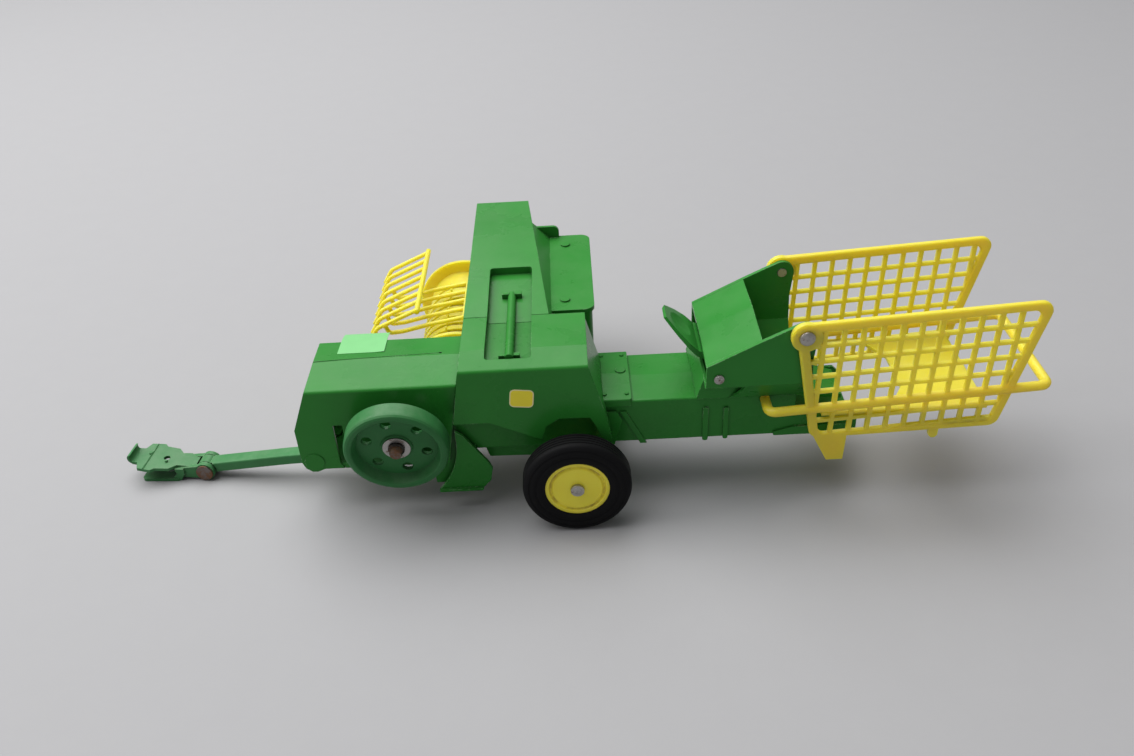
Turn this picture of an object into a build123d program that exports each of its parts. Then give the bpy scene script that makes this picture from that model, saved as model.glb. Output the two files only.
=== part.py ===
# Die-cast toy square baler, 1/16 scale: every visible piece is its own solid.
# mm, +X to the rear, +Y to the machine's right (pickup side), +Z up, floor at z = 0.
import math
import os

from build123d import *

# ------------------------------------------------------------------ main sizes
wall = 1.6             # die-cast wall
fit = 0.1              # radial running fit of a pin in its hole
gap = 0.3              # clearance between castings that only meet face to face

axle_x = 6.7           # wheels
axle_r = 2.0
tire_r = 23.5
tire_width = 11.4
rim_r = 13.9
left_tire_outer_y = -43.4
right_tire_outer_y = 33.5
axle_z = tire_r

chamber_half = 18.2    # bale chamber
chamber_x0 = -46.0
chamber_top_x1 = 106.5
chamber_x1 = 130.5
chamber_z0 = 29.0
chamber_z1 = 51.0
chamber_crown = 1.0
chamber_step_x = 103.0  # behind this the side walls are low
chamber_step_z = 39.5
well_x0 = 66.0         # top opening under the hopper

ejector_half = 27.0    # ejector hopper
plate_w = 1.8
ejector_x0 = 62.7
ejector_front_z = 72.2
ejector_top_x1 = 85.3
ejector_top_z1 = 83.6
roof_crown = 1.0
ejector_x1 = 107.0
belly_z = 62.0
rivet_x = 102.5
rivet_z = 86.0
rivet_r = 2.0
tail_r = 5.3

lever_pin_x = 67.9     # kick lever
lever_pin_z = 66.4
lever_pin_r = 1.5
platform_half = 11.8
platform_x1 = 125.0

cover_x0 = -40.4       # main cover
cover_x1 = 13.7
cover_near_y = -27.0
cover_seam_y = 11.5
seam_gap = 0.3
cover_edge_z = 76.0
cover_z = 79.0
cover_crease_y = -15.0
front_lean = 0.173     # the covers' front walls lean back as they rise

feeder_far_y = 116.5   # feeder housing and its tray
feeder_far_z = 85.5
feeder_floor_z = 50.6
top_x1_near = -2.2     # right edge of the housing's top, at the seam and at its far end
top_x1_far = -12.2
tray_x0 = -0.5
tray_x1 = 18.3
tray_y0 = 18.9
tray_y1 = 92.5
tray_z = 76.0
tray_t = 2.0
recess_x0 = -29.4
recess_x1 = -9.8
recess_y0 = -20.6
recess_y1 = 51.5
recess_depth = 3.6
cover_rod_x = -19.0
cover_rod_r = 1.9

hood_x0 = -105.6       # front hood
hood_nose_x = -115.3
hood_x1 = -42.0
hood_half = 20.0
hood_edge_z = 65.0
hood_crown_z = 68.0
hood_bottom_z = 23.3
slot_x0 = -98.3
slot_x1 = -94.1
slot_top_z = 47.0

flywheel_x = -69.5     # flywheel on its drooping pin
flywheel_pin_z = 44.3
flywheel_r = 22.5
flywheel_out = 7.0     # hood wall to the wheel's inner face
flywheel_w = 9.0
flywheel_pin_r = 2.1
flywheel_droop = 8.0   # degrees

tongue_y = 2.5         # tongue and hitch
tongue_swing = 6.5     # degrees the tongue lies off the machine's line, to the right
tongue_pin_x = -104.0
tongue_pin_r = 1.6
tongue_length = 67.0
tongue_half = 3.5
tongue_pin_top_z = 17.4
hitch_pin_z = 4.8
hitch_pin_r = 1.7
barrel_r = 4.6
barrel_half = 5.3
cheek_t = 2.3
head_length = 35.3

drum_x = -50.0         # pickup
drum_z = 26.0
drum_plate_r = 25.0
drum_hub_r = 19.2
strap_r = 20.2
tine_r = 22.8
drum_y0 = 44.0
drum_y1 = 117.0
plate_t = 2.0
wire_r = 1.1
wire_y0 = 55.3
wire_y1 = 114.8
crossbar_x = -67.5
crossbar_z = 58.8

basket_panel_t = 2.6   # basket
panel_gap = 0.2
basket_panel_y = ejector_half + panel_gap + basket_panel_t / 2
basket_rod_r = 2.1
basket_rear_x = 208.0
basket_rod_bend = 3.2
far_panel_short = 4.6    # the far side is shorter at its rear end
basket_rise = 3.65     # degrees
basket_floor_z = 45.6
basket_floor_t = 1.6
hook_x = 89.5
hook_z = 48.6

# the origin sits at the middle of the whole machine's box, on the floor
swing = math.radians(tongue_swing)
hitch_pin_x = tongue_pin_x - tongue_length * math.cos(swing)
hitch_pin_y = tongue_y + tongue_length * math.sin(swing)
rivet_out = 0.5
x_low = -208.2
x_high = basket_rear_x
y_low = left_tire_outer_y - rivet_out
y_high = drum_y1 + plate_t + 1.0
mid_x = (x_low + x_high) / 2
mid_y = (y_low + y_high) / 2

os.makedirs("parts", exist_ok=True)


def slab_y(points, y0, y1):
    face = make_face(Polyline(*[(x, y0, z) for x, z in points], close=True))
    return extrude(face, amount=y1 - y0, dir=(0, 1, 0))


def slab_z(points, z0, z1):
    face = make_face(Polyline(*[(x, y, z0) for x, y in points], close=True))
    return extrude(face, amount=z1 - z0, dir=(0, 0, 1))


def slab_x(points, x0, x1):
    face = make_face(Polyline(*[(x0, y, z) for y, z in points], close=True))
    return extrude(face, amount=x1 - x0, dir=(1, 0, 0))


def round_slab_y(points, radius, y0, y1):
    outline = FilletPolyline(*[(x, y0, z) for x, z in points], radius=radius, close=True)
    return extrude(make_face(outline), amount=y1 - y0, dir=(0, 1, 0))


def round_slab_z(points, radius, z0, z1):
    outline = FilletPolyline(*[(x, y, z0) for x, y in points], radius=radius, close=True)
    return extrude(make_face(outline), amount=z1 - z0, dir=(0, 0, 1))


def box(x0, x1, y0, y1, z0, z1):
    return Pos((x0 + x1) / 2, (y0 + y1) / 2, (z0 + z1) / 2) * Box(x1 - x0, y1 - y0, z1 - z0)


def rod_y(x, z, r, y0, y1):
    return Pos(x, (y0 + y1) / 2, z) * Rot(90, 0, 0) * Cylinder(r, y1 - y0)


def rod_z(x, y, r, z0, z1):
    return Pos(x, y, (z0 + z1) / 2) * Cylinder(r, z1 - z0)


def tube_along(points, r, bend):
    path = FilletPolyline(*points, radius=bend) if len(points) > 2 else Line(*points)
    return sweep(Plane(origin=path @ 0, z_dir=path % 0) * Circle(r), path=path)


def ring_y(profile, x, z):
    # profile rows are (radius, y); turned about the line through (x, z) along Y
    face = make_face(Polyline(*[(x, y, z + r) for r, y in profile], close=True))
    return revolve(face, axis=Axis((x, 0, z), (0, 1, 0)), revolution_arc=360)


def span(side, near, far):
    # the two ends of a stretch that lies at near..far from the middle, on one side
    return min(side * near, side * far), max(side * near, side * far)


def soften(shape, edges, radius):
    return fillet(edges, radius) if edges else shape


def put(shape, name):
    export_step(shape.moved(Location((-mid_x, -mid_y, 0))), "parts/" + name + ".step")


# ------------------------------------------------------------------ bale chamber
chamber_cross = [
    (-chamber_half, chamber_z0), (chamber_half, chamber_z0), (chamber_half, chamber_z1),
    (0, chamber_z1 + chamber_crown), (-chamber_half, chamber_z1)]
shell = slab_x(chamber_cross, chamber_x0, chamber_x1)
shell = soften(shell, shell.edges().filter_by(Axis.X).filter_by(lambda e: abs(e.center().Y) > 1), 0.9)
in_half = chamber_half - wall
in_z0 = chamber_z0 + wall
in_z1 = chamber_z1 - wall
shell -= box(chamber_x0 - 1, chamber_x1 + 1, -in_half, in_half, in_z0, in_z1)
shell -= box(well_x0, chamber_top_x1 + 30, -in_half, in_half, in_z1 - 1, chamber_z1 + 3)
shell -= box(chamber_step_x, chamber_x1 + 1, -chamber_half - 1, chamber_half + 1, chamber_step_z,
             chamber_z1 + 3)
corner_cut = 4.0
for side in (-1, 1):
    y_a, y_b = span(side, in_half - 1, chamber_half + 1)
    tip = slab_y([(chamber_x1 - corner_cut, chamber_step_z + 1), (chamber_x1 + 1, chamber_step_z + 1),
                  (chamber_x1 + 1, chamber_step_z - corner_cut)], y_a, y_b)
    shell -= tip
rib_out = 0.9
rib_rows = [  # x, z bottom, z top, width
    (64.0, 28.2, 46.0, 2.4),
    (72.9, 28.6, 45.6, 2.2),
]
for side in (-1, 1):
    y_a, y_b = span(side, chamber_half - 0.4, chamber_half + rib_out)
    for rib_x, rib_z0, rib_z1, rib_w in rib_rows:
        rib_rect = [(rib_x - rib_w / 2, rib_z0), (rib_x + rib_w / 2, rib_z0),
                    (rib_x + rib_w / 2, rib_z1), (rib_x - rib_w / 2, rib_z1)]
        shell += round_slab_y(rib_rect, 0.9, y_a, y_b)
    shell += slab_y([(26.8, 46.0), (29.4, 46.0), (38.2, 28.4), (35.4, 28.4)], y_a, y_b)
    shell += round_slab_y([(94.0, chamber_z0), (94.0, 31.0), (103.0, 33.4), (129.0, 33.4),
                           (129.0, chamber_z0)], 0.8, y_a, y_b)
# step bracket beside each wheel
bracket_out = 1.6
for side in (-1, 1):
    y_a, y_b = span(side, chamber_half - 0.4, chamber_half + bracket_out)
    bracket = round_slab_y([(15.0, 46.5), (25.4, 46.5), (27.6, 42.0), (24.0, 28.6), (16.5, 28.6)], 1.0,
                           y_a, y_b)
    shell += bracket
for side in (-1, 1):
    y_a, y_b = span(side, in_half - 2, chamber_half + 4)
    shell -= rod_y(hook_x, hook_z, basket_rod_r + 0.15, y_a, y_b)
put(shell, "bale_chamber")

# ------------------------------------------------------------------ axle frame under the chamber
frame_x0 = -34.0
frame_x1 = 24.0
frame_z0 = 18.5
frame_half = 15.0
frame_side = [(frame_x0, chamber_z0), (frame_x0 + 2, 22.0), (-14.0, 21.6), (0.5, frame_z0), (13.0, frame_z0),
              (frame_x1, chamber_z0)]
frame = slab_y(frame_side, -frame_half, frame_half)
frame -= box(frame_x0 - 1, frame_x1 + 1, -frame_half + 2, frame_half - 2, frame_z0 - 1, chamber_z0 - wall)
frame -= rod_y(axle_x, axle_z, axle_r + fit, -frame_half - 1, frame_half + 1)
put(frame, "axle_frame")

# ------------------------------------------------------------------ strap plate
strap_x0 = 17.5
strap_x1 = 32.0
strap_t = 1.5
strap_side = 0.8
strap = slab_x(
    [(-chamber_half - strap_side, chamber_z1 - 2.2), (-chamber_half - strap_side, chamber_z1 + strap_t),
     (0, chamber_z1 + chamber_crown + strap_t), (chamber_half + strap_side, chamber_z1 + strap_t),
     (chamber_half + strap_side, chamber_z1 - 2.2)], strap_x0, strap_x1)
strap_edges = strap.edges().filter_by(Axis.X).filter_by(
    lambda e: e.center().Z > chamber_z1 and abs(e.center().Y) > 1)
strap = soften(strap, strap_edges, 0.7)
strap -= slab_x(
    [(-chamber_half, chamber_z1 - 3), (-chamber_half, chamber_z1), (0, chamber_z1 + chamber_crown),
     (chamber_half, chamber_z1), (chamber_half, chamber_z1 - 3)], strap_x0 - 1, strap_x1 + 1)
strap_half = chamber_half + strap_side
strap &= round_slab_z([(strap_x0, -strap_half), (strap_x1, -strap_half), (strap_x1, strap_half),
                       (strap_x0, strap_half)], 1.4, chamber_z1 - 5, chamber_z1 + 6)
strap_rivets = [  # x, y, head radius
    (20.1, 15.2, 0.9),
    (29.5, 15.2, 0.9),
    (20.4, -15.0, 0.9),
    (30.0, -15.0, 0.9),
    (28.2, 2.0, 2.3),
]
for rivet_at_x, rivet_at_y, head_r in strap_rivets:
    seat_z = chamber_z1 + strap_t + chamber_crown * (1 - abs(rivet_at_y) / chamber_half)
    strap += rod_z(rivet_at_x, rivet_at_y, head_r, seat_z - 0.5, seat_z + 0.6)
put(strap, "strap_plate")

# ------------------------------------------------------------------ ejector hopper
hop_in = ejector_half - plate_w
hopper = Part()
side_plate = [
    (ejector_x0, belly_z), (ejector_x0, ejector_front_z), (ejector_top_x1, ejector_top_z1),
    (rivet_x - 2.1, rivet_z + tail_r - 0.45), (rivet_x, rivet_z), (rivet_x + tail_r - 0.1, rivet_z - 1.0),
    (ejector_x1 - 0.4, 74.0), (ejector_x1, belly_z)]
for side in (-1, 1):
    y_a, y_b = span(side, hop_in, ejector_half)
    plate = slab_y(side_plate, y_a, y_b) + rod_y(rivet_x, rivet_z, tail_r, y_a, y_b)
    hopper += plate
roof_t = 1.6
roof_lap = hop_in + 0.5
roof_cross = [
    (-roof_lap, ejector_front_z - roof_t), (-roof_lap, ejector_front_z - 0.1),
    (0, ejector_front_z + roof_crown),
    (roof_lap, ejector_front_z - 0.1), (roof_lap, ejector_front_z - roof_t),
    (0, ejector_front_z + roof_crown - roof_t)]
roof_run = ejector_top_x1 - ejector_x0
roof_rise = ejector_top_z1 - ejector_front_z
roof_face = make_face(Polyline(*[(ejector_x0, y, z) for y, z in roof_cross], close=True))
hopper += extrude(roof_face, amount=math.hypot(roof_run, roof_rise), dir=(roof_run, 0, roof_rise))
# the belly narrows from the side plates down to the chamber walls
belly_low_z = chamber_z1 + 0.3
belly_low_half = chamber_half + wall
ramp_x0 = 59.5
mid_top = (ejector_x0 + ejector_x1) / 2
mid_low = (ramp_x0 + ejector_x1) / 2
belly = loft([
    Plane.XY.offset(belly_z) * Pos(mid_top, 0) * Rectangle(ejector_x1 - ejector_x0, 2 * ejector_half),
    Plane.XY.offset(belly_low_z) * Pos(mid_low, 0) * Rectangle(ejector_x1 - ramp_x0, 2 * belly_low_half),
])
belly -= loft([
    Plane.XY.offset(belly_z) * Pos(mid_top + 2, 0) * Rectangle(ejector_x1 - ejector_x0 - wall + 3,
                                                               2 * hop_in),
    Plane.XY.offset(belly_low_z) * Pos(mid_low + 4, 0) * Rectangle(ejector_x1 - ramp_x0, 2 * chamber_half),
])
scoop_x1 = 79.0
for side in (-1, 1):
    y_a, y_b = span(side, belly_low_half, ejector_half + 1)
    scoop_edge = [Line((ramp_x0 - 1, y_a, belly_low_z - 1), (ramp_x0 - 1, y_a, belly_z - 0.9)),
                  Line((ramp_x0 - 1, y_a, belly_z - 0.9), (scoop_x1, y_a, belly_z - 0.9)),
                  ThreePointArc((scoop_x1, y_a, belly_z - 0.9), (scoop_x1 - 2.0, y_a, belly_z - 6.6),
                                (scoop_x1 - 8.0, y_a, belly_low_z - 1)),
                  Line((scoop_x1 - 8.0, y_a, belly_low_z - 1), (ramp_x0 - 1, y_a, belly_low_z - 1))]
    belly -= extrude(make_face(Wire(scoop_edge)), amount=y_b - y_a, dir=(0, 1, 0))
    y_a, y_b = span(side, chamber_half, belly_low_half + 0.05)
    belly += slab_y([(ramp_x0 + 0.2, belly_low_z), (ejector_x0, belly_z - 0.1),
                     (ejector_x0 + 20, belly_z - 0.1),
                     (ejector_x0 + 20, belly_low_z)], y_a, y_b)
belly -= slab_x(
    [(-chamber_half, chamber_z1 - 3), (-chamber_half, chamber_z1 + gap),
     (0, chamber_z1 + chamber_crown + gap),
     (chamber_half, chamber_z1 + gap), (chamber_half, chamber_z1 - 3)], ramp_x0 - 1, ramp_x0 + 12)
hopper += belly
for side in (-1, 1):
    y_a, y_b = span(side, hop_in - 1, ejector_half + 1)
    hopper -= rod_y(rivet_x, rivet_z, rivet_r + fit, y_a, y_b)
hopper -= rod_y(lever_pin_x, lever_pin_z, lever_pin_r + fit, -ejector_half - 2, ejector_half + 2)
put(hopper, "ejector_housing")

# ------------------------------------------------------------------ kick lever and its pin
# one bent plate: spoon tip, hub on the pin, and the platform that throws the bale
lever_t = 2.0
tip_x = 47.0
tip_z = 83.4
neck_x = 61.4
neck_z = 68.6
bend_x = 92.0
bend_z = 48.8
platform_z1 = 40.9
spoon = slab_y([(tip_x, tip_z), (tip_x + 1.0, tip_z + 1.1), (neck_x, neck_z + lever_t),
                (lever_pin_x, lever_pin_z + 2.6), (lever_pin_x, lever_pin_z - 2.0),
                (neck_x - 0.8, neck_z - 0.5)],
               -platform_half, platform_half)
spoon &= round_slab_z(
    [(tip_x - 0.6, -3.4), (tip_x + 2.4, -6.4), (53.0, -9.4), (57.4, -platform_half),
     (lever_pin_x + 1, -platform_half), (lever_pin_x + 1, platform_half), (57.4, platform_half), (53.0, 9.4),
     (tip_x + 2.4, 6.4), (tip_x - 0.6, 3.4)], 1.8, 50, 95)
dish_x = 53.8
dish_z = tip_z - (dish_x - tip_x) * (tip_z - neck_z) / (neck_x - tip_x)
dish_r = 20.0
lever = spoon - Pos(dish_x, 0, dish_z) * Rot(0, 45, 0) * Pos(0, 0, dish_r + 0.4) * Sphere(dish_r)
lever += rod_y(lever_pin_x, lever_pin_z, 3.2, -platform_half, platform_half)
platform = slab_y(
    [(lever_pin_x, lever_pin_z + 2.0), (bend_x + 0.8, bend_z + lever_t),
     (platform_x1, platform_z1 + lever_t),
     (platform_x1, platform_z1), (bend_x, bend_z), (lever_pin_x - 0.5, lever_pin_z - 1.0)],
    -platform_half, platform_half)
platform &= slab_z(
    [(lever_pin_x - 2, -platform_half), (112.0, -platform_half), (platform_x1, -platform_half + 2.2),
     (platform_x1, platform_half - 2.2), (112.0, platform_half), (lever_pin_x - 2, platform_half)], 30, 80)
lever += platform
lever -= rod_y(lever_pin_x, lever_pin_z, lever_pin_r + fit, -platform_half - 1, platform_half + 1)
put(lever, "kick_lever")

pin_head = 0.9
lever_pin = rod_y(lever_pin_x, lever_pin_z, lever_pin_r, -ejector_half - pin_head, ejector_half + pin_head)
for side in (-1, 1):
    y_a, y_b = span(side, ejector_half, ejector_half + pin_head)
    lever_pin += rod_y(lever_pin_x, lever_pin_z, 2.1, y_a, y_b)
    y_a, y_b = span(side, ejector_half + pin_head - 0.5, ejector_half + pin_head + 0.1)
    lever_pin -= rod_y(lever_pin_x, lever_pin_z, 0.9, y_a, y_b)
put(lever_pin, "lever_pin")

# ------------------------------------------------------------------ basket: two grid sides, floor and rod
rise = math.tan(math.radians(basket_rise))
top_rail = 4.2
rear_bar = 4.0
front_bar = 4.4
low_rail = 2.5
boss_r = 6.4
grid_x = 187.9
grid_z = 86.3
bar_pitch = 7.81
row_pitch = 7.57
bar_w = 1.9
row_h = 1.6
mesh_half = 0.9
inset = 1.0
panel_half = basket_panel_t / 2


def make_panel(short):
    # one grid side in the plane y = 0
    front_top = (97.6, 92.0)
    rear_top = (201.4 - short, 97.7 - rise * short)
    rear_low = (187.0 - short, 36.8)
    front_low = (107.6, 34.4)
    side = round_slab_y([front_top, rear_top, rear_low, front_low], 5.0, -panel_half, panel_half)
    side -= round_slab_y(
        [(front_top[0] + front_bar + 0.8, front_top[1] - top_rail),
         (rear_top[0] - rear_bar - 1.0, rear_top[1] - top_rail),
         (rear_low[0] - rear_bar + 0.4, rear_low[1] + low_rail),
         (front_low[0] + front_bar - 0.8, front_low[1] + low_rail)],
        3.0, -basket_panel_t, basket_panel_t)
    rims = side.edges().filter_by(lambda e: abs(abs(e.center().Y) - panel_half) < 0.01)
    side = soften(side, rims, 0.9)
    mesh = Part()
    for i in range(1, 12):
        bar_x = grid_x - (i - 1) * bar_pitch
        mesh += slab_y([(bar_x - bar_w / 2 + 0.4, 96), (bar_x + bar_w / 2 + 0.4, 96),
                        (bar_x + bar_w / 2 - 1.6, 34), (bar_x - bar_w / 2 - 1.6, 34)], -mesh_half, mesh_half)
    for j in range(1, 8):
        row_z = grid_z - (j - 1) * row_pitch
        drop = rise * (grid_x - 98.0)
        lift = rise * (202.0 - grid_x)
        mesh += slab_y([(98.0, row_z - drop - row_h / 2), (202.0, row_z + lift - row_h / 2),
                        (202.0, row_z + lift + row_h / 2), (98.0, row_z - drop + row_h / 2)],
                       -mesh_half, mesh_half)
    mesh &= round_slab_y(
        [(front_top[0] + inset + 1, front_top[1] - inset), (rear_top[0] - inset - 1, rear_top[1] - inset),
         (rear_low[0] - inset, rear_low[1] + inset), (front_low[0] + inset, front_low[1] + inset)],
        4.0, -1.0, 1.0)
    side += mesh
    side += rod_y(rivet_x, rivet_z, boss_r, -panel_half, panel_half)
    side += slab_y([(108.6, 36.6), (115.6, 22.5), (122.8, 22.5), (123.4, 36.6)], -panel_half, panel_half)
    side += slab_y([(158.4, 37.6), (158.8, 33.0), (160.0, 31.8), (161.6, 31.8), (162.6, 33.0), (162.8, 37.6)],
                   -1.0, 1.0)
    return side


basket = Pos(0, -basket_panel_y, 0) * make_panel(0.0)
basket += Pos(0, basket_panel_y, 0) * make_panel(far_panel_short)
# the rod runs along both sides, round the rear, and hooks into the chamber walls
rod_rear = basket_rear_x - basket_rod_r
rod_rear_z = hook_z + rise * (rod_rear - hook_x)
hook_in_y = in_half + 0.4
basket += tube_along(
    [(hook_x, -hook_in_y, hook_z), (hook_x, -basket_panel_y, hook_z),
     (rod_rear, -basket_panel_y, rod_rear_z),
     (rod_rear, basket_panel_y, rod_rear_z), (hook_x, basket_panel_y, hook_z), (hook_x, hook_in_y, hook_z)],
    basket_rod_r, basket_rod_bend)
ledge = basket_panel_y - 4.6
floor_half = [(112.0, basket_panel_y), (112.0, ledge + 1.6), (143.0, ledge), (150.0, 12.0)]
floor_plan = [(x, -y) for x, y in floor_half] + floor_half[::-1] + [(182.0, basket_panel_y),
                                                                    (182.0, -basket_panel_y)]
basket += slab_z(floor_plan, basket_floor_z, basket_floor_z + basket_floor_t)
for side in (-1, 1):
    y_a, y_b = span(side, basket_panel_y - 2, basket_panel_y + 2)
    basket -= rod_y(rivet_x, rivet_z, rivet_r + fit, y_a, y_b)
put(basket, "basket")

rivet_head_r = 3.2
for side, side_name in ((-1, "left"), (1, "right")):
    panel_face = basket_panel_y + basket_panel_t / 2
    y_a, y_b = span(side, hop_in - 0.5, panel_face + 1.0)
    rivet = rod_y(rivet_x, rivet_z, rivet_r, y_a, y_b)
    y_a, y_b = span(side, panel_face, panel_face + 1.0)
    head = rod_y(rivet_x, rivet_z, rivet_head_r, y_a, y_b)
    rim_edge = head.edges().filter_by(lambda e: abs(abs(e.center().Y) - panel_face - 1.0) < 0.01)
    rivet += soften(head, rim_edge, 0.6)
    put(rivet, "basket_rivet_" + side_name)

# ------------------------------------------------------------------ main cover


def front_x(z):
    # the covers' leaning front wall
    return cover_x0 + front_lean * (z - cover_edge_z)


cover_low_z = 49.4
cover_side = [
    (front_x(90), 90), (cover_x1, 90), (cover_x1, cover_edge_z), (20.1, 52.1), (22.9, 36.0), (19.0, 36.0),
    (16.0, 45.0), (13.5, 49.6), (0.4, 49.9), (-5.4, 46.0), (-7.2, 39.0), (-19.6, 44.9),
    (-29.5, cover_low_z),
    (front_x(cover_low_z), cover_low_z)]
cover_cross = [
    (cover_near_y, 30), (cover_near_y, cover_edge_z), (cover_crease_y, cover_z), (cover_seam_y, cover_z),
    (cover_seam_y, 30)]
cover_cross_in = [
    (cover_near_y + wall, 29), (cover_near_y + wall, cover_edge_z - wall), (cover_crease_y, cover_z - wall),
    (cover_seam_y + 1, cover_z - wall), (cover_seam_y + 1, 29)]
cover_far_y = cover_seam_y - seam_gap / 2
cover = slab_y(cover_side, cover_near_y, cover_far_y) & slab_x(cover_cross, -60, 40)
near_edges = cover.edges().filter_by(Axis.X).filter_by(
    lambda e: abs(e.center().Y - cover_near_y) < 0.01 and abs(e.center().Z - cover_edge_z) < 0.01)
cover = soften(cover, near_edges, 1.6)
cover_void = slab_x(cover_cross_in, -60, 40) & slab_y(
    [(front_x(90) + wall, 90), (cover_x1 - wall, 90), (cover_x1 - wall, cover_edge_z), (21.0, 29.0),
     (front_x(29) + wall, 29)], cover_near_y, cover_seam_y + 1)
cover -= cover_void
recess_floor_z = cover_z - recess_depth
recess_lid = slab_x(
    [(recess_y0, recess_floor_z), (recess_y0, 95), (recess_y1, 95),
     (recess_y1,
      recess_floor_z + (feeder_far_z - cover_z) * (recess_y1 - cover_seam_y) / (feeder_far_y - cover_seam_y)),
     (cover_seam_y, recess_floor_z)], recess_x0, recess_x1)
recess_corners = recess_lid.edges().filter_by(Axis.Z)
recess_cut = soften(recess_lid, recess_corners, 1.6)
cover += box(recess_x0 - wall, recess_x1 + wall, recess_y0 - wall, cover_far_y, recess_floor_z - wall,
             cover_edge_z)
cover -= recess_cut
under_z = chamber_z1 + chamber_crown + strap_t + gap
cover -= box(-60, 30, -chamber_half - strap_side - gap, chamber_half + strap_side + gap, 20, under_z)
cover -= box(12.0, 32.0, -chamber_half - bracket_out - gap, 0, 20, 46.5 + gap)
put(cover, "main_cover")

# ------------------------------------------------------------------ feeder housing with the tray
seam = cover_seam_y + seam_gap / 2
slope = (feeder_far_z - cover_z) / (feeder_far_y - seam)
edge_slope = (top_x1_far - top_x1_near) / (feeder_far_y - seam)
strip_z = cover_z + slope * (tray_y1 - seam)
strip_x = top_x1_near + edge_slope * (tray_y1 - seam)


def crossing(x_low, x_top, z_low, z_top):
    corners = [(front_x(z_low), 0, z_low), (x_low, 0, z_low), (x_top, 0, z_top), (front_x(z_top), 0, z_top)]
    return make_face(Polyline(*corners, close=True))


housing = loft([
    Pos(0, seam, 0) * crossing(tray_x0 - 0.1, top_x1_near, tray_z - 1, cover_z),
    Pos(0, tray_y1, 0) * crossing(tray_x0 - 0.1, strip_x, tray_z - 1, strip_z),
])
housing += loft([
    Pos(0, tray_y1, 0) * crossing(strip_x, strip_x, tray_z - 1, strip_z),
    Pos(0, feeder_far_y, 0) * crossing(top_x1_far, top_x1_far, tray_z - 1, feeder_far_z),
])
far_edges = housing.edges().filter_by(
    lambda e: abs(e.center().Y - feeder_far_y) < 0.01 and e.center().Z > tray_z)
housing = soften(housing, far_edges, 1.2)
under = loft([
    Pos(0, seam, 0) * crossing(tray_x0, tray_x0, feeder_floor_z, tray_z - 0.5),
    Pos(0, feeder_far_y, 0) * crossing(top_x1_far, top_x1_far, feeder_floor_z, tray_z - 0.5),
])
feeder = housing + under
side_low_z = 56.0
tray_plan = [(tray_x0 - 12, tray_y0), (tray_x1, tray_y0), (tray_x1, tray_y1), (tray_x0 - 12, tray_y1)]
tray = round_slab_z(tray_plan, 4.8, tray_z - tray_t, tray_z)
lip_in = 1.0
skirt_plan = [(tray_x0 - 12, tray_y0 + lip_in), (tray_x1 - lip_in, tray_y0 + lip_in),
              (tray_x1 - lip_in, tray_y1 - lip_in),
              (tray_x0 - 12, tray_y1 - lip_in)]
skirt = round_slab_z(skirt_plan, 4.2, side_low_z, tray_z - 0.5)
feeder += tray + skirt
inner = loft([
    Pos(0, seam - 1, 0) * crossing(tray_x0 + 30, tray_x0 + 30, feeder_floor_z - 1, tray_z - tray_t),
    Pos(0, feeder_far_y - wall, 0) * crossing(tray_x0 + 30, tray_x0 + 30, feeder_floor_z - 1,
                                              tray_z - tray_t),
])
inner &= slab_z([(-60, seam - 1), (tray_x0 + 0.5, seam - 1),
                 (tray_x1 - lip_in - wall, tray_y0 + lip_in + wall),
                 (tray_x1 - lip_in - wall, tray_y1 - lip_in - wall - 3),
                 (tray_x1 - lip_in - wall - 3, tray_y1 - lip_in - wall),
                 (top_x1_far, tray_y1 - lip_in - wall), (top_x1_far - wall, feeder_far_y - wall),
                 (-60, feeder_far_y - wall)],
                40, 90)
leaning_wall = slab_y([(front_x(90) - 5, 90), (front_x(90) + wall, 90), (front_x(40) + wall, 40),
                       (front_x(40) - 5, 40)], seam - 5, feeder_far_y + 5)
feeder -= inner - leaning_wall
feeder -= recess_cut
recess_far_z = recess_floor_z + slope * (recess_y1 - seam)
feeder += slab_x([(seam, recess_floor_z - wall), (seam, recess_floor_z),
                  (recess_y1 + wall, recess_far_z + 0.1),
                  (recess_y1 + wall, recess_far_z - wall)], recess_x0 - wall, recess_x1 + wall)
flange_x0 = -9.5
flange_x1 = 3.2
flange_top_z = 82.0
flange = slab_y([(flange_x0, tray_z - 1), (flange_x0, flange_top_z), (flange_x1, flange_top_z),
                 (flange_x1, tray_z - 1)],
                tray_y1 - wall, tray_y1)
flange_corner = flange.edges().filter_by(Axis.Y).filter_by(
    lambda e: e.center().X > 0 and e.center().Z > tray_z)
feeder += soften(flange, flange_corner, 3.0)
tray_rivets = [  # x, y
    (6.1, 82.0),
    (5.2, 28.0),
]
for rivet_at_x, rivet_at_y in tray_rivets:
    feeder += rod_z(rivet_at_x, rivet_at_y, 2.2, tray_z - 0.5, tray_z + 0.7)
feeder -= box(-60, 30, -30, chamber_half + strap_side + gap, 20, under_z)
put(feeder, "feeder_housing")

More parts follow.
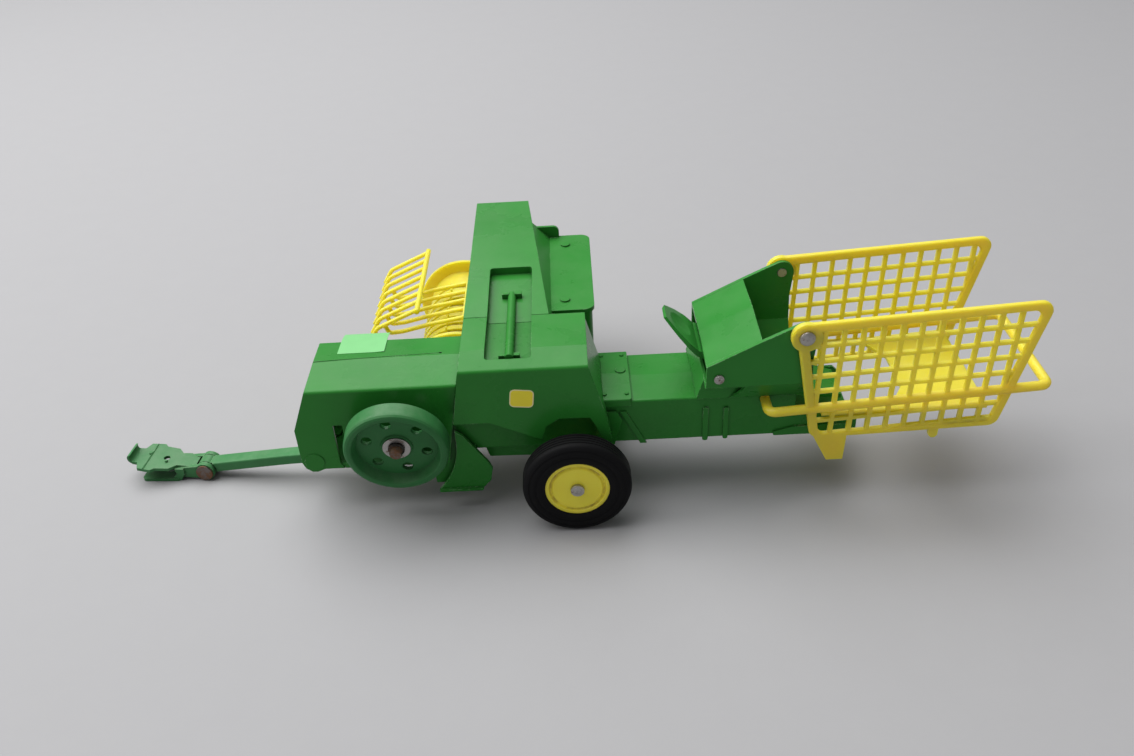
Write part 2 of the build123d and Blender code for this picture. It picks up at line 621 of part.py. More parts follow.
# rod lying in the recess
rod_lie_z = recess_floor_z + cover_rod_r
cover_rod = rod_y(cover_rod_x, rod_lie_z, cover_rod_r, recess_y0 + 0.8, 33.0)
lug_h = 2.4
near_lug_y = recess_y0 + 3.2
for side in (-1, 1):
    x_a, x_b = span(side, cover_rod_r - 0.4, cover_rod_r + 2.6)
    cover_rod += box(cover_rod_x + x_a, cover_rod_x + x_b, near_lug_y - 1.1, near_lug_y + 1.1,
                     recess_floor_z, recess_floor_z + lug_h)
far_lug_y = 31.6
far_lug_z = recess_floor_z + slope * (far_lug_y - seam)
cover_rod -= slab_x([(seam - 1, recess_floor_z - 2), (seam, recess_floor_z), (recess_y1, recess_far_z),
                     (recess_y1, recess_floor_z - 2)], recess_x0, recess_x1)
for side in (-1, 1):
    x_a, x_b = span(side, cover_rod_r - 0.6, cover_rod_r + 2.6)
    cover_rod += slab_x([(far_lug_y - 1.1, far_lug_z - slope * 1.1),
                         (far_lug_y + 1.1, far_lug_z + slope * 1.1),
                         (far_lug_y + 1.1, far_lug_z + lug_h), (far_lug_y - 1.1, far_lug_z + lug_h)],
                        cover_rod_x + x_a, cover_rod_x + x_b)
put(cover_rod, "cover_rod")

# ------------------------------------------------------------------ front hood
hood_side = [
    (hood_x0, hood_crown_z + 2), (hood_x1, hood_crown_z + 2), (hood_x1, 40.0), (slot_x1, 40.0),
    (slot_x1, slot_top_z),
    (slot_x0, slot_top_z), (slot_x0, 26.0), (slot_x0 + 1.6, hood_bottom_z), (-105.5, hood_bottom_z),
    (-109.0, 21.9),
    (-111.4, 22.0), (-114.0, 24.0), (hood_nose_x, 27.4), (hood_nose_x, 45.2)]
hood_cross = [
    (-hood_half, 10), (-hood_half, hood_edge_z), (0, hood_crown_z), (hood_half, hood_edge_z),
    (hood_half, 10)]
hood_cross_in = [
    (-hood_half + wall, 9), (-hood_half + wall, hood_edge_z - wall), (0, hood_crown_z - wall),
    (hood_half - wall, hood_edge_z - wall), (hood_half - wall, 9)]
hood = slab_y(hood_side, -hood_half, hood_half) & slab_x(hood_cross, -130, 0)
long_edges = hood.edges().filter_by(Axis.X).filter_by(
    lambda e: abs(abs(e.center().Y) - hood_half) < 0.01 and abs(e.center().Z - hood_edge_z) < 0.01)
hood = soften(hood, long_edges, 1.5)
hood_void = slab_x(hood_cross_in, -130, 0)
hood_void &= slab_y([(hood_x0 + wall, 80), (-30, 80), (-30, 0), (hood_nose_x + wall, 0),
                     (hood_nose_x + wall, 45.2)], -30, 30)
hood -= hood_void
# the seam between the hood's two halves, with a small hole at its end
seam_w = 0.4
seam_floor_z = hood_crown_z - 0.6
hood -= slab_z([(hood_x0 - 1, -0.9), (-50.3, 2.1 - seam_w / 2), (-50.3, 2.1 + seam_w / 2),
                (hood_x0 - 1, -0.9 + seam_w)], seam_floor_z, hood_crown_z + 2)
hood -= rod_z(-50.6, 2.1, 0.7, seam_floor_z - 0.4, hood_crown_z + 2)
# floor bridge that carries the tongue pin, and the lower skirts
bridge_z = hood_bottom_z + 0.2
hood += box(hood_nose_x + 3.4, slot_x1, -hood_half + 0.5, hood_half - 0.5, bridge_z, bridge_z + 2.4)
for side in (-1, 1):
    y_a, y_b = span(side, hood_half - wall, hood_half)
    skirt_pts = [(slot_x1, 41.0), (slot_x1, 33.0), (slot_x1 - 2.4, hood_bottom_z), (-47.0, hood_bottom_z),
                 (-44.4, 41.0)]
    hood += slab_y(skirt_pts, y_a, y_b)
    y_a, y_b = span(side, hood_half - 0.2, hood_half + 0.4)
    hood += rod_y(-109.5, 27.6, 4.4, y_a, y_b)
hood -= rod_z(tongue_pin_x, tongue_y, tongue_pin_r + fit, 0, 40)
droop = Pos(0, -hood_half, flywheel_pin_z) * Rot(flywheel_droop, 0, 0) * Pos(0, hood_half, -flywheel_pin_z)
hood -= droop * rod_y(flywheel_x, flywheel_pin_z, flywheel_pin_r + fit, -hood_half - 6, -hood_half + 6)
hood -= slab_y([(front_x(cover_z + 5) - gap, cover_z + 5), (front_x(10) - gap, 10), (-30, 10),
                (-30, cover_z + 5)], -30, 30)
hood -= box(chamber_x0 - gap, 0, -chamber_half - 0.1, chamber_half + 0.1, 10,
            chamber_z1 + chamber_crown + gap)
# linings that close the sides between the hood and the chamber
lining_t = 1.6
for side in (-1, 1):
    y_a, y_b = span(side, hood_half - wall - lining_t, hood_half - wall + 0.01)
    hood += slab_y([(-60.0, 47.0), (chamber_x0 - gap, 47.0), (chamber_x0 - gap, 11.0), (-57.0, 11.0)],
                   y_a, y_b)
put(hood, "front_hood")

# ------------------------------------------------------------------ flywheel guard
guard_t = 1.6
guard_y1 = -hood_half - 0.2
guard_y0 = guard_y1 - guard_t
guard_top = (-45.6, 37.0)
guard_foot = (-55.8, 9.0)
guard_rim = [
    guard_foot, (-36.2, 9.0), (-32.0, 13.8), (-30.8, 20.2), (-32.2, 23.6), (-42.0, 38.7), (-44.2, 40.4),
    (-45.6, 41.6), guard_top]
guard_edges = [Line((x_a, guard_y0, z_a), (x_b, guard_y0, z_b))
               for (x_a, z_a), (x_b, z_b) in zip(guard_rim, guard_rim[1:])]
guard_edges.append(ThreePointArc((guard_top[0], guard_y0, guard_top[1]), (-48.2, guard_y0, 21.5),
                                 (guard_foot[0], guard_y0, guard_foot[1])))
guard_face = make_face(Wire(guard_edges))
guard = extrude(guard_face, amount=guard_t, dir=(0, 1, 0))
guard += slab_y([(guard_foot[0] + 0.3, 9.0), (-36.2, 9.0), (-35.5, 10.1), (guard_foot[0] + 0.3, 10.1)],
                guard_y0 - 1.4, guard_y0 + 0.2)
guard += box(-41.0, -37.4, guard_y1 - 0.2, -chamber_half, chamber_z0 + 0.5, 31.8)
put(guard, "flywheel_guard")

# ------------------------------------------------------------------ flywheel and its pin
fly_y1 = -hood_half - flywheel_out
fly_y0 = fly_y1 - flywheel_w
fly_web_y = fly_y0 + 4.8
fly_hub_y = fly_y0 + 4.0
hub_r = 6.6
washer_r = 6.0
fly_back_y = fly_y1 - 2.2
fly = ring_y(
    [(flywheel_pin_r + fit, fly_hub_y), (hub_r, fly_hub_y), (hub_r + 0.4, fly_web_y), (17.2, fly_web_y),
     (18.9, fly_y0 + 0.3), (19.4, fly_y0), (flywheel_r - 1.7, fly_y0), (flywheel_r - 0.7, fly_y0 + 0.4),
     (flywheel_r - 0.15, fly_y0 + 1.3), (flywheel_r, fly_y0 + 2.4), (flywheel_r, fly_y1 - 1.0),
     (flywheel_r - 1.0, fly_y1), (19.2, fly_y1), (18.0, fly_back_y), (hub_r, fly_back_y), (hub_r, fly_y1),
     (flywheel_pin_r + fit, fly_y1)],
    flywheel_x, flywheel_pin_z)
hole_ring_r = 13.1
fly_hole_r = 2.35
hole_count = 6
hole_start = -17.4
for k in range(hole_count):
    angle = math.radians(360 / hole_count * k + hole_start)
    hole_x = flywheel_x + hole_ring_r * math.cos(angle)
    hole_z = flywheel_pin_z + hole_ring_r * math.sin(angle)
    fly -= rod_y(hole_x, hole_z, fly_hole_r, fly_y0 - 1, fly_y1 + 1)
put(droop * fly, "flywheel")

fly_pin = rod_y(flywheel_x, flywheel_pin_z, flywheel_pin_r, fly_y0 - 0.2, -hood_half + 3.0)
fly_pin += rod_y(flywheel_x, flywheel_pin_z, washer_r, fly_hub_y - 0.7, fly_hub_y - 0.1)
fly_pin += rod_y(flywheel_x, flywheel_pin_z, 4.4, fly_y1 + 0.3, -hood_half - 1.0)
put(droop * fly_pin, "flywheel_pin")

# ------------------------------------------------------------------ tongue
# built along -X from the tongue pin, then swung to where it lies
to_place = Pos(tongue_pin_x, tongue_y, 0) * Rot(0, 0, -tongue_swing)
tongue_h = 5.0
end_x = -tongue_length
barrel_top = hitch_pin_z + 3.4
tongue = slab_y(
    [(end_x, hitch_pin_z - 1.6), (end_x, barrel_top), (end_x + 40, 14.4), (7.0, tongue_pin_top_z + 1.4),
     (7.0, tongue_pin_top_z + 1.4 - tongue_h), (end_x + 40, 14.4 - tongue_h)], -tongue_half, tongue_half)
tongue_edges = tongue.edges().filter_by(lambda e: abs(e.center().Z - 16.6) < 0.4 and abs(e.center().Y) > 3)
tongue = soften(tongue, tongue_edges, 0.8)
tongue -= slab_y(
    [(end_x + 9, -1.0), (end_x + 9, barrel_top - 0.8), (end_x + 40, 12.9), (-6.0, tongue_pin_top_z - 0.6),
     (-6.0, 0)],
    -tongue_half + 1.2, tongue_half - 1.2)
cheek_gap = 0.35
tongue_end_half = barrel_half - cheek_t - cheek_gap
tongue -= rod_y(end_x, hitch_pin_z, barrel_r + 0.7, -tongue_half - 1, -tongue_end_half)
tongue -= rod_y(end_x, hitch_pin_z, barrel_r + 0.7, tongue_end_half, tongue_half + 1)
tongue += rod_y(end_x, hitch_pin_z, barrel_r, -tongue_end_half, tongue_end_half)
tongue -= rod_y(end_x, hitch_pin_z, hitch_pin_r + fit, -20, 20)
tongue -= rod_z(0, 0, tongue_pin_r + fit, 0, 40)
put(to_place * tongue, "tongue")

pin_seat_z = bridge_z + 2.4
tongue_pin = rod_z(0, 0, tongue_pin_r, tongue_pin_top_z - 7.0, pin_seat_z + 1.0)
tongue_pin += rod_z(0, 0, 2.8, pin_seat_z, pin_seat_z + 1.0)
tongue_pin += rod_z(0, 0, 2.6, tongue_pin_top_z - 7.0, tongue_pin_top_z - 5.9)
tongue_pin += rod_z(0, 0, 2.8, tongue_pin_top_z + 1.3, bridge_z)
put(to_place * tongue_pin, "tongue_pin")

# ------------------------------------------------------------------ hitch head
# local X runs from the hitch pin to the tip; the jaw lies flat, the upper plate rises to the tip
lean = 0.124
plate_h = 7.6          # upper plate's top at its rear end
plate_rear = 13.5
ridge_at = 28.0
upper_t = 1.5


def plate_top(run):
    return plate_h + lean * (run - plate_rear)


upper_plan = [(-plate_rear, -4.4), (-16.5, -7.6), (-23.0, -8.4), (-24.5, -10.0), (-31.0, -9.4),
              (-32.6, -5.4),
              (-head_length, -5.2), (-head_length, 5.2), (-32.6, 5.4), (-31.0, 9.4), (-24.5, 10.0),
              (-23.0, 8.4),
              (-16.5, 7.6), (-plate_rear, 4.4)]
upper = slab_y([(-4.0, plate_h - 0.3 - upper_t), (-4.0, plate_h - 0.3),
                (-head_length, plate_top(head_length)), (-head_length,
                                                         plate_top(head_length) - upper_t)], -12, 12)
upper &= slab_z([(-4.0, -4.4), *upper_plan, (-4.0, 4.4)], 0, 30)
upper += slab_y([(-ridge_at - 0.6, plate_top(ridge_at)), (-ridge_at, plate_top(ridge_at) + 0.7),
                 (-ridge_at + 0.6, plate_top(ridge_at)), (-ridge_at, plate_top(ridge_at) - 1)], -9.4, 9.4)
lip_z = plate_top(head_length)
lip = extrude(make_face(Wire([
    ThreePointArc((-head_length + 1.6, 0, lip_z - 0.3), (-head_length - 0.4, 0, lip_z + 0.6),
                  (-head_length - 0.2, 0, lip_z + 3.2)),
    Line((-head_length - 0.2, 0, lip_z + 3.2), (-head_length - 1.4, 0, lip_z + 3.0)),
    ThreePointArc((-head_length - 1.4, 0, lip_z + 3.0), (-head_length - 1.4, 0, lip_z - 0.4),
                  (-head_length + 1.6, 0, lip_z - upper_t)),
    Line((-head_length + 1.6, 0, lip_z - upper_t), (-head_length + 1.6, 0, lip_z - 0.3)),
])), amount=5.0, dir=(0, 1, 0), both=True)
jaw_t = 1.5
jaw_plan = [(-12.5, -6.6), (-31.5, -7.4), (-31.5, 7.4), (-12.5, 6.6)]
head = upper + lip + round_slab_z(jaw_plan, 1.8, 0, jaw_t)
head += slab_y([(-10.0, jaw_t + 2.4), (-12.5, 0), (-16.0, 0), (-16.4, jaw_t), (-13.8, 4.0),
                (-14.4, plate_h - 0.6),
                (-10.0, plate_h - 0.6)], -6.2, 6.2)
for side in (-1, 1):
    y_a, y_b = span(side, barrel_half - cheek_t, barrel_half)
    cheek = slab_y([(0, hitch_pin_z - 3.6), (0, hitch_pin_z + 3.6), (-12.0, plate_h - 0.5), (-12.0, 1.6)],
                   y_a, y_b)
    head += cheek + rod_y(0, hitch_pin_z, barrel_r, y_a, y_b)
head -= rod_y(0, hitch_pin_z, 5.3, -barrel_half + cheek_t, barrel_half - cheek_t)
head -= box(-4.4, 3.0, -barrel_half + cheek_t, barrel_half - cheek_t, -1, 12)
head -= rod_y(0, hitch_pin_z, hitch_pin_r + fit, -20, 20)
hitch_hole_at = 20.0
hitch_hole_r = 1.5
head -= rod_z(-hitch_hole_at, 0, hitch_hole_r, -2, 20)
head_place = Pos(hitch_pin_x, hitch_pin_y, 0) * Rot(0, 0, -tongue_swing)
put(head_place * head, "hitch_head")

pin_head_t = 0.8
hitch_pin = rod_y(0, hitch_pin_z, hitch_pin_r, -barrel_half - pin_head_t, barrel_half + pin_head_t)
hitch_pin += rod_y(0, hitch_pin_z, 4.0, -barrel_half - pin_head_t, -barrel_half)
hitch_pin += rod_y(0, hitch_pin_z, 2.6, barrel_half, barrel_half + pin_head_t)
put(head_place * hitch_pin, "hitch_pin")

# ------------------------------------------------------------------ wheels and axle
wheel_rows = [  # side name, outer face y, direction to the outside
    ("left", left_tire_outer_y, -1),
    ("right", right_tire_outer_y, 1),
]
crown_in = 2.0
bead_in = 0.7
face_in = 1.0
for side_name, outer_y, out in wheel_rows:
    tire = ring_y(
        [(rim_r, outer_y - out * bead_in), (rim_r + 2.6, outer_y), (20.4, outer_y - out * 0.2),
         (20.8, outer_y - out * 0.6),
         (22.2, outer_y - out * 0.8), (tire_r, outer_y - out * crown_in),
         (tire_r, outer_y - out * (tire_width - crown_in)),
         (22.2, outer_y - out * (tire_width - 0.8)), (20.8, outer_y - out * (tire_width - 0.6)),
         (20.4, outer_y - out * (tire_width - 0.2)), (rim_r + 2.6, outer_y - out * tire_width),
         (rim_r, outer_y - out * (tire_width - bead_in))], axle_x, axle_z)
    shoulder = tire.edges().filter_by(GeomType.CIRCLE).filter_by(lambda e: e.radius > tire_r - 0.1)
    tire = soften(tire, shoulder, 1.0)
    put(tire, "wheel_" + side_name + "_tire")
    back = tire_width - face_in
    rim = ring_y(
        [(axle_r + fit, outer_y - out * face_in), (10.6, outer_y - out * face_in),
         (11.2, outer_y - out * 1.7),
         (11.9, outer_y - out * 1.7), (12.4, outer_y - out * face_in), (rim_r, outer_y - out * face_in),
         (rim_r, outer_y - out * back), (12.4, outer_y - out * back), (12.4, outer_y - out * 4.2),
         (4.6, outer_y - out * 4.2), (4.6, outer_y - out * (tire_width + 1.6)),
         (axle_r + fit, outer_y - out * (tire_width + 1.6))], axle_x, axle_z)
    put(rim, "wheel_" + side_name + "_rim")

axle_head_r = 2.9
axle_y0 = left_tire_outer_y - rivet_out
axle_y1 = right_tire_outer_y + rivet_out
axle = rod_y(axle_x, axle_z, axle_r, axle_y0, axle_y1)
for head_y, out in ((axle_y0, -1), (axle_y1, 1)):
    inner_y = head_y - out * (rivet_out + face_in - 0.15)
    axle += rod_y(axle_x, axle_z, axle_head_r, min(head_y, inner_y), max(head_y, inner_y))
put(axle, "axle")

# ------------------------------------------------------------------ pickup cage
cage = Part()
for plate_y in (drum_y0, drum_y1):
    cage += rod_y(drum_x, drum_z, drum_plate_r, plate_y, plate_y + plate_t)
    cage += slab_y([(drum_x - 15.0, drum_z + 20.0), (front_x(feeder_floor_z) + 1.5, feeder_floor_z - gap),
                    (-30.0, feeder_floor_z - gap), (-27.0, drum_z + 8)], plate_y, plate_y + plate_t)
hub_len = 15.0
hub_y0 = drum_y1 - hub_len
cage += rod_y(drum_x, drum_z, drum_hub_r, hub_y0, drum_y1 + 0.5)
cage -= rod_y(drum_x, drum_z, drum_hub_r - 2.0, hub_y0 - 1, drum_y1)
tie_angles = (55, -50)  # ties behind the drum that carry the straps, degrees from +X
tie_r = 0.7
tie_at_r = drum_plate_r - tie_r - 0.1
strap_count = 8
strap_w = 3.6
strap_in = strap_r - 1.3
strap_y0 = drum_y0 + plate_t
strap_step = (hub_y0 - strap_y0) / (strap_count + 1)
for k in range(1, strap_count + 1):
    y0 = strap_y0 + strap_step * k - strap_w / 2
    cage += ring_y([(strap_in, y0), (strap_r, y0), (strap_r, y0 + strap_w), (strap_in, y0 + strap_w)],
                   drum_x, drum_z)
    for tie_angle in tie_angles:
        lug = box(strap_in + 0.4, tie_at_r, y0, y0 + strap_w, -0.7, 0.7)
        cage += Pos(drum_x, 0, drum_z) * Rot(0, -tie_angle, 0) * lug
for tie_angle in tie_angles:
    a = math.radians(tie_angle)
    tie_x = drum_x + tie_at_r * math.cos(a)
    tie_z = drum_z + tie_at_r * math.sin(a)
    cage += rod_y(tie_x, tie_z, tie_r, drum_y0 + 0.5, drum_y1 + 0.5)
cage -= rod_y(drum_x, drum_z, axle_r + fit, drum_y0 - 5, drum_y1 + 10)
put(cage, "pickup_cage")

# reel with tines that pass between the straps
run_gap = 0.6
reel_y0 = strap_y0 + run_gap
reel_y1 = drum_y1 - run_gap
reel = rod_y(drum_x, drum_z, 3.6, reel_y0, reel_y1)
tine_bar_r = 12.0
bar_count = 4
bar_y1 = hub_y0 - run_gap
reel_start = 20.0
for k in range(bar_count):
    a = math.radians(360 / bar_count * k + reel_start)
    bar_x = drum_x + tine_bar_r * math.cos(a)
    bar_z = drum_z + tine_bar_r * math.sin(a)
    reel += rod_y(bar_x, bar_z, 1.2, reel_y0, bar_y1)
    for n in range(strap_count + 1):
        tine_y = strap_y0 + strap_step * (n + 0.5)
        tip = (drum_x + tine_r * math.cos(a - 0.14), tine_y, drum_z + tine_r * math.sin(a - 0.14))
        reel += tube_along([(bar_x, tine_y, bar_z), tip], 0.6, 0)
for spider_y in (reel_y0, bar_y1 - 1.6):
    for k in range(2):
        turn = 90 * k + reel_start
        reel += Pos(drum_x, spider_y + 0.8, drum_z) * Rot(0, -turn, 0) * Box(2 * tine_bar_r, 1.6, 3.0)
reel -= rod_y(drum_x, drum_z, axle_r + fit, drum_y0 - 5, drum_y1 + 10)
put(reel, "pickup_reel")

reel_pin = rod_y(drum_x, drum_z, axle_r, drum_y0 - 0.8, drum_y1 + plate_t + 1.0)
reel_pin += rod_y(drum_x, drum_z, 3.0, drum_y0 - 0.8, drum_y0)
reel_pin += rod_y(drum_x, drum_z, 3.0, drum_y1 + plate_t, drum_y1 + plate_t + 1.0)
put(reel_pin, "pickup_shaft")

# ----------------------------------------------------------------- windguard: fingers that return to the wall
wire_count = 8
leg_count = 5  # the far fingers have no back leg
wall_z = 53.4
root_x = front_x(wall_z) - 0.2
wind = tube_along([(crossbar_x, wire_y0 - 2.2, crossbar_z), (crossbar_x, wire_y1 + 2.2, crossbar_z)], 1.3,
                  0)
for k in range(wire_count):
    y = wire_y0 + (wire_y1 - wire_y0) * k / (wire_count - 1)
    finger = [(crossbar_x, y, crossbar_z), (-88.4, y, 49.4), (-93.0, y, 41.8)]
    back_leg = [(-84.6, y, 51.2), (-82.6, y, 46.4), (-76.0, y, 47.0), (-62.5, y, 50.2), (root_x, y, wall_z)]
    wind += tube_along(finger, wire_r, 5.0)
    if k < leg_count:
        wind += tube_along(back_leg, wire_r, 2.0)
root_y1 = wire_y0 + (wire_y1 - wire_y0) * (leg_count - 1) / (wire_count - 1)
wind += box(root_x - 1.2, root_x, wire_y0 - 2, root_y1 + 2, wall_z - 1.6, wall_z + 1.6)
put(wind, "windguard")
print("parts written")
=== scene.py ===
import math

import bmesh
import bpy
from mathutils import Matrix, Vector


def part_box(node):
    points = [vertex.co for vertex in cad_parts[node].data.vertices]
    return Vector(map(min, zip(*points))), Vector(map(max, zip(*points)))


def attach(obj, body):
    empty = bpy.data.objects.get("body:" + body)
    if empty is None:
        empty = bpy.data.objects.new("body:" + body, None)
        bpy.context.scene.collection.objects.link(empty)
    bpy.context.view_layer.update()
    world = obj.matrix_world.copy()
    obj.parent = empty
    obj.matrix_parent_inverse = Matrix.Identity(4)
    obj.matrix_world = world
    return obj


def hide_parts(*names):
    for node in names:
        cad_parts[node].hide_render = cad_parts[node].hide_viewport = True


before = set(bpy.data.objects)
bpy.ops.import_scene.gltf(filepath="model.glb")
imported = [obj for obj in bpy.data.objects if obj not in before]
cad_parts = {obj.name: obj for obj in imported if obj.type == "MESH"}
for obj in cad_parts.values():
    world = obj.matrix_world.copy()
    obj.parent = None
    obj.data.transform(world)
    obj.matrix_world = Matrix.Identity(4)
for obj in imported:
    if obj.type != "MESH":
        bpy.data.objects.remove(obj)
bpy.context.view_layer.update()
mm = 0.001
# the machine's own measures, tied to the frame by its left tire
ownTire = {"centreX": 6.7, "outerY": -43.4}   # mm
tireLow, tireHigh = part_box("wheel_left_tire")
midX = ownTire["centreX"] - (tireLow[0] + tireHigh[0]) / 2 / mm
midY = ownTire["outerY"] - tireLow[1] / mm


def spot(x, y, z):
    # a place in the machine's own measures, in metres of this frame
    return Vector(((x - midX) * mm, (y - midY) * mm, z * mm))


print("frame loaded:", len(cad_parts), "nodes")

# camera, in the machine's own measures
viewCamera = {
    "x": 10.55, "y": -381.95, "z": 315.51,   # mm
    "turn": 0.93, "down": 34.58, "roll": -3.43,   # degrees
    "lens": 33.03, "sensor": 36,   # mm
}


def placeCamera(values):
    data = bpy.data.cameras.new("viewCamera")
    data.lens = values["lens"]
    data.sensor_width = values["sensor"]
    data.clip_start = 0.01
    cam = bpy.data.objects.new("viewCamera", data)
    bpy.context.scene.collection.objects.link(cam)
    turn, down, roll = (math.radians(values[k]) for k in ("turn", "down", "roll"))
    look = Vector((-math.sin(turn) * math.cos(down), math.cos(turn) * math.cos(down), -math.sin(down)))
    level = Vector((math.cos(turn), math.sin(turn), 0))
    lift = level.cross(look)
    right = level * math.cos(roll) + lift * math.sin(roll)
    up = right.cross(look)
    turned = Matrix((right, up, -look)).transposed().to_4x4()
    cam.matrix_world = Matrix.Translation(spot(values["x"], values["y"], values["z"])) @ turned
    bpy.context.scene.camera = cam


placeCamera(viewCamera)

# lamps, world and floor
studio = {
    "windowPower": 24.0, "windowPlace": (-2.2, 0.15, 1.45), "windowSize": (1.5, 1.5),
    "ceilingPower": 56.0, "ceilingPlace": (-0.55, 0.5, 1.65), "ceilingSize": (2.4, 1.9),
    "worldStrength": 0.265, "worldColor": (0.97, 0.98, 1.0),
    "floorColor": (0.338, 0.336, 0.344), "floorRough": 0.7, "floorFleck": 1.04, "floorSize": 9.0,
}


def addLamp(name, place, size, power, color):
    data = bpy.data.lights.new(name, "AREA")
    data.shape = "RECTANGLE"
    data.size, data.size_y = size
    data.energy = power
    data.color = color
    lamp = bpy.data.objects.new(name, data)
    bpy.context.scene.collection.objects.link(lamp)
    lamp.location = place
    lamp.rotation_euler = Vector(place).to_track_quat("Z", "Y").to_euler()


def addNode(tree, kind, sockets=None, **props):
    node = tree.nodes.new(kind)
    for key, value in props.items():
        setattr(node, key, value)
    for key, value in (sockets or {}).items():
        node.inputs[key].default_value = value
    return node


def startGroup(name, inputs, outputs):
    # inputs and outputs: rows of (socket name, kind, value)
    group = bpy.data.node_groups.new(name, "ShaderNodeTree")
    for title, kind, value in inputs:
        socket = group.interface.new_socket(name=title, in_out="INPUT", socket_type="NodeSocket" + kind)
        if value is not None:
            socket.default_value = value
    for title, kind in outputs:
        group.interface.new_socket(name=title, in_out="OUTPUT", socket_type="NodeSocket" + kind)
    return group, group.nodes.new("NodeGroupInput"), group.nodes.new("NodeGroupOutput")


def startMaterial(name, sockets):
    mat = bpy.data.materials.new(name)
    mat.use_nodes = True
    tree = mat.node_tree
    shader = tree.nodes["Principled BSDF"]
    for key, value in sockets.items():
        shader.inputs[key].default_value = value
    coords = tree.nodes.new("ShaderNodeTexCoord")
    return mat, tree, shader, coords.outputs["Object"]


def useGroup(tree, group, sockets=None):
    node = addNode(tree, "ShaderNodeGroup", node_tree=group)
    for key, value in (sockets or {}).items():
        node.inputs[key].default_value = value
    return node


def mixColor(tree, factor, first, second):
    node = addNode(tree, "ShaderNodeMix", data_type="RGBA")
    for slotAt, value in ((0, factor), (6, first), (7, second)):
        if isinstance(value, bpy.types.NodeSocket):
            tree.links.new(value, node.inputs[slotAt])
        else:
            node.inputs[slotAt].default_value = value
    return node.outputs[2]


def remap(tree, value, low, high, toLow, toHigh):
    node = addNode(tree, "ShaderNodeMapRange", {"From Min": low, "From Max": high, "To Min": toLow,
                                                "To Max": toHigh})
    tree.links.new(value, node.inputs["Value"])
    return node.outputs["Result"]


def doMath(tree, way, first, second=None):
    node = addNode(tree, "ShaderNodeMath", operation=way)
    for at, value in enumerate((first, second)):
        if isinstance(value, bpy.types.NodeSocket):
            tree.links.new(value, node.inputs[at])
        elif value is not None:
            node.inputs[at].default_value = value
    return node.outputs[0]


def shade(r, g, b):
    return (r, g, b, 1.0)


# effects that several finishes share
wearAndHighlightShape = {"edgeFrom": 0.985, "edgeTo": 0.80, "chipGain": 0.34, "chipFloor": 0.42, "chipSoft": 0.02,
             "patchScale": 55.0}


def makeEdgeWearAndHighlight(values):
    # rounded edges for the light, and a mask of worn chips along them; their pale colour is partly painted edge
    # highlight
    group, enter, leave = startGroup(
        "edgeWearAndHighlight",
        [("Vector", "Vector", None), ("Radius", "Float", 0.0004), ("Chip Size", "Float", 700.0),
         ("Chip And Highlight Amount", "Float", 0.5)],
        [("Mask", "Float"), ("Normal", "Vector")])
    link = group.links.new
    rounded = addNode(group, "ShaderNodeBevel", samples=4)
    link(enter.outputs["Radius"], rounded.inputs["Radius"])
    geometry = group.nodes.new("ShaderNodeNewGeometry")
    dot = addNode(group, "ShaderNodeVectorMath", operation="DOT_PRODUCT")
    link(rounded.outputs[0], dot.inputs[0])
    link(geometry.outputs["Normal"], dot.inputs[1])
    edge = remap(group, dot.outputs["Value"], values["edgeFrom"], values["edgeTo"], 0.0, 1.0)
    chipsAndHighlight = addNode(group, "ShaderNodeTexNoise", {"Detail": 5.0, "Roughness": 0.62})
    link(enter.outputs["Vector"], chipsAndHighlight.inputs["Vector"])
    link(enter.outputs["Chip Size"], chipsAndHighlight.inputs["Scale"])
    patches = addNode(group, "ShaderNodeTexNoise", {"Scale": values["patchScale"], "Detail": 2.0})
    link(enter.outputs["Vector"], patches.inputs["Vector"])
    both = doMath(group, "MULTIPLY", chipsAndHighlight.outputs["Fac"], patches.outputs["Fac"])
    limit = doMath(group, "MULTIPLY", enter.outputs["Chip And Highlight Amount"], values["chipGain"])
    over = doMath(group, "SUBTRACT", doMath(group, "ADD", both, limit), values["chipFloor"])
    chipAndHighlightMask = remap(group, over, 0.0, values["chipSoft"], 0.0, 1.0)
    link(doMath(group, "MULTIPLY", edge, chipAndHighlightMask), leave.inputs["Mask"])
    link(rounded.outputs[0], leave.inputs["Normal"])
    return group


skinShape = {"speckScale": 230.0, "spreadScale": 140.0, "speckFrom": 0.62, "speckTo": 0.8, "speckReach": 0.09}


def makeFineSkin(values):
    # small waves of a sprayed or moulded skin, with slow patches for gloss
    group, enter, leave = startGroup(
        "fineSkin",
        [("Vector", "Vector", None), ("Wave Size", "Float", 900.0), ("Patch Size", "Float", 45.0)],
        [("Height", "Float"), ("Patches", "Float"), ("Specks", "Float")])
    link = group.links.new
    wave = addNode(group, "ShaderNodeTexNoise", {"Detail": 2.0, "Roughness": 0.45})
    patch = addNode(group, "ShaderNodeTexNoise", {"Detail": 5.0, "Roughness": 0.6, "Distortion": 0.3})
    speck = addNode(group, "ShaderNodeTexVoronoi", {"Scale": values["speckScale"], "Randomness": 1.0})
    speckSize = addNode(group, "ShaderNodeTexNoise", {"Scale": values["spreadScale"], "Detail": 1.0})
    for node, size in ((wave, "Wave Size"), (patch, "Patch Size")):
        link(enter.outputs[size], node.inputs["Scale"])
    for node in (wave, patch, speck, speckSize):
        link(enter.outputs["Vector"], node.inputs["Vector"])
    link(wave.outputs["Fac"], leave.inputs["Height"])
    link(patch.outputs["Fac"], leave.inputs["Patches"])
    reach = remap(group, speckSize.outputs["Fac"], values["speckFrom"], values["speckTo"], 0.0,
                  values["speckReach"])
    tiny = doMath(group, "LESS_THAN", speck.outputs["Distance"], reach)
    link(tiny, leave.inputs["Specks"])
    return group


dustShape = {"cloudScale": 70.0, "cloudFrom": 0.35, "cloudTo": 0.75, "upFrom": 0.1, "sideShare": 0.15}


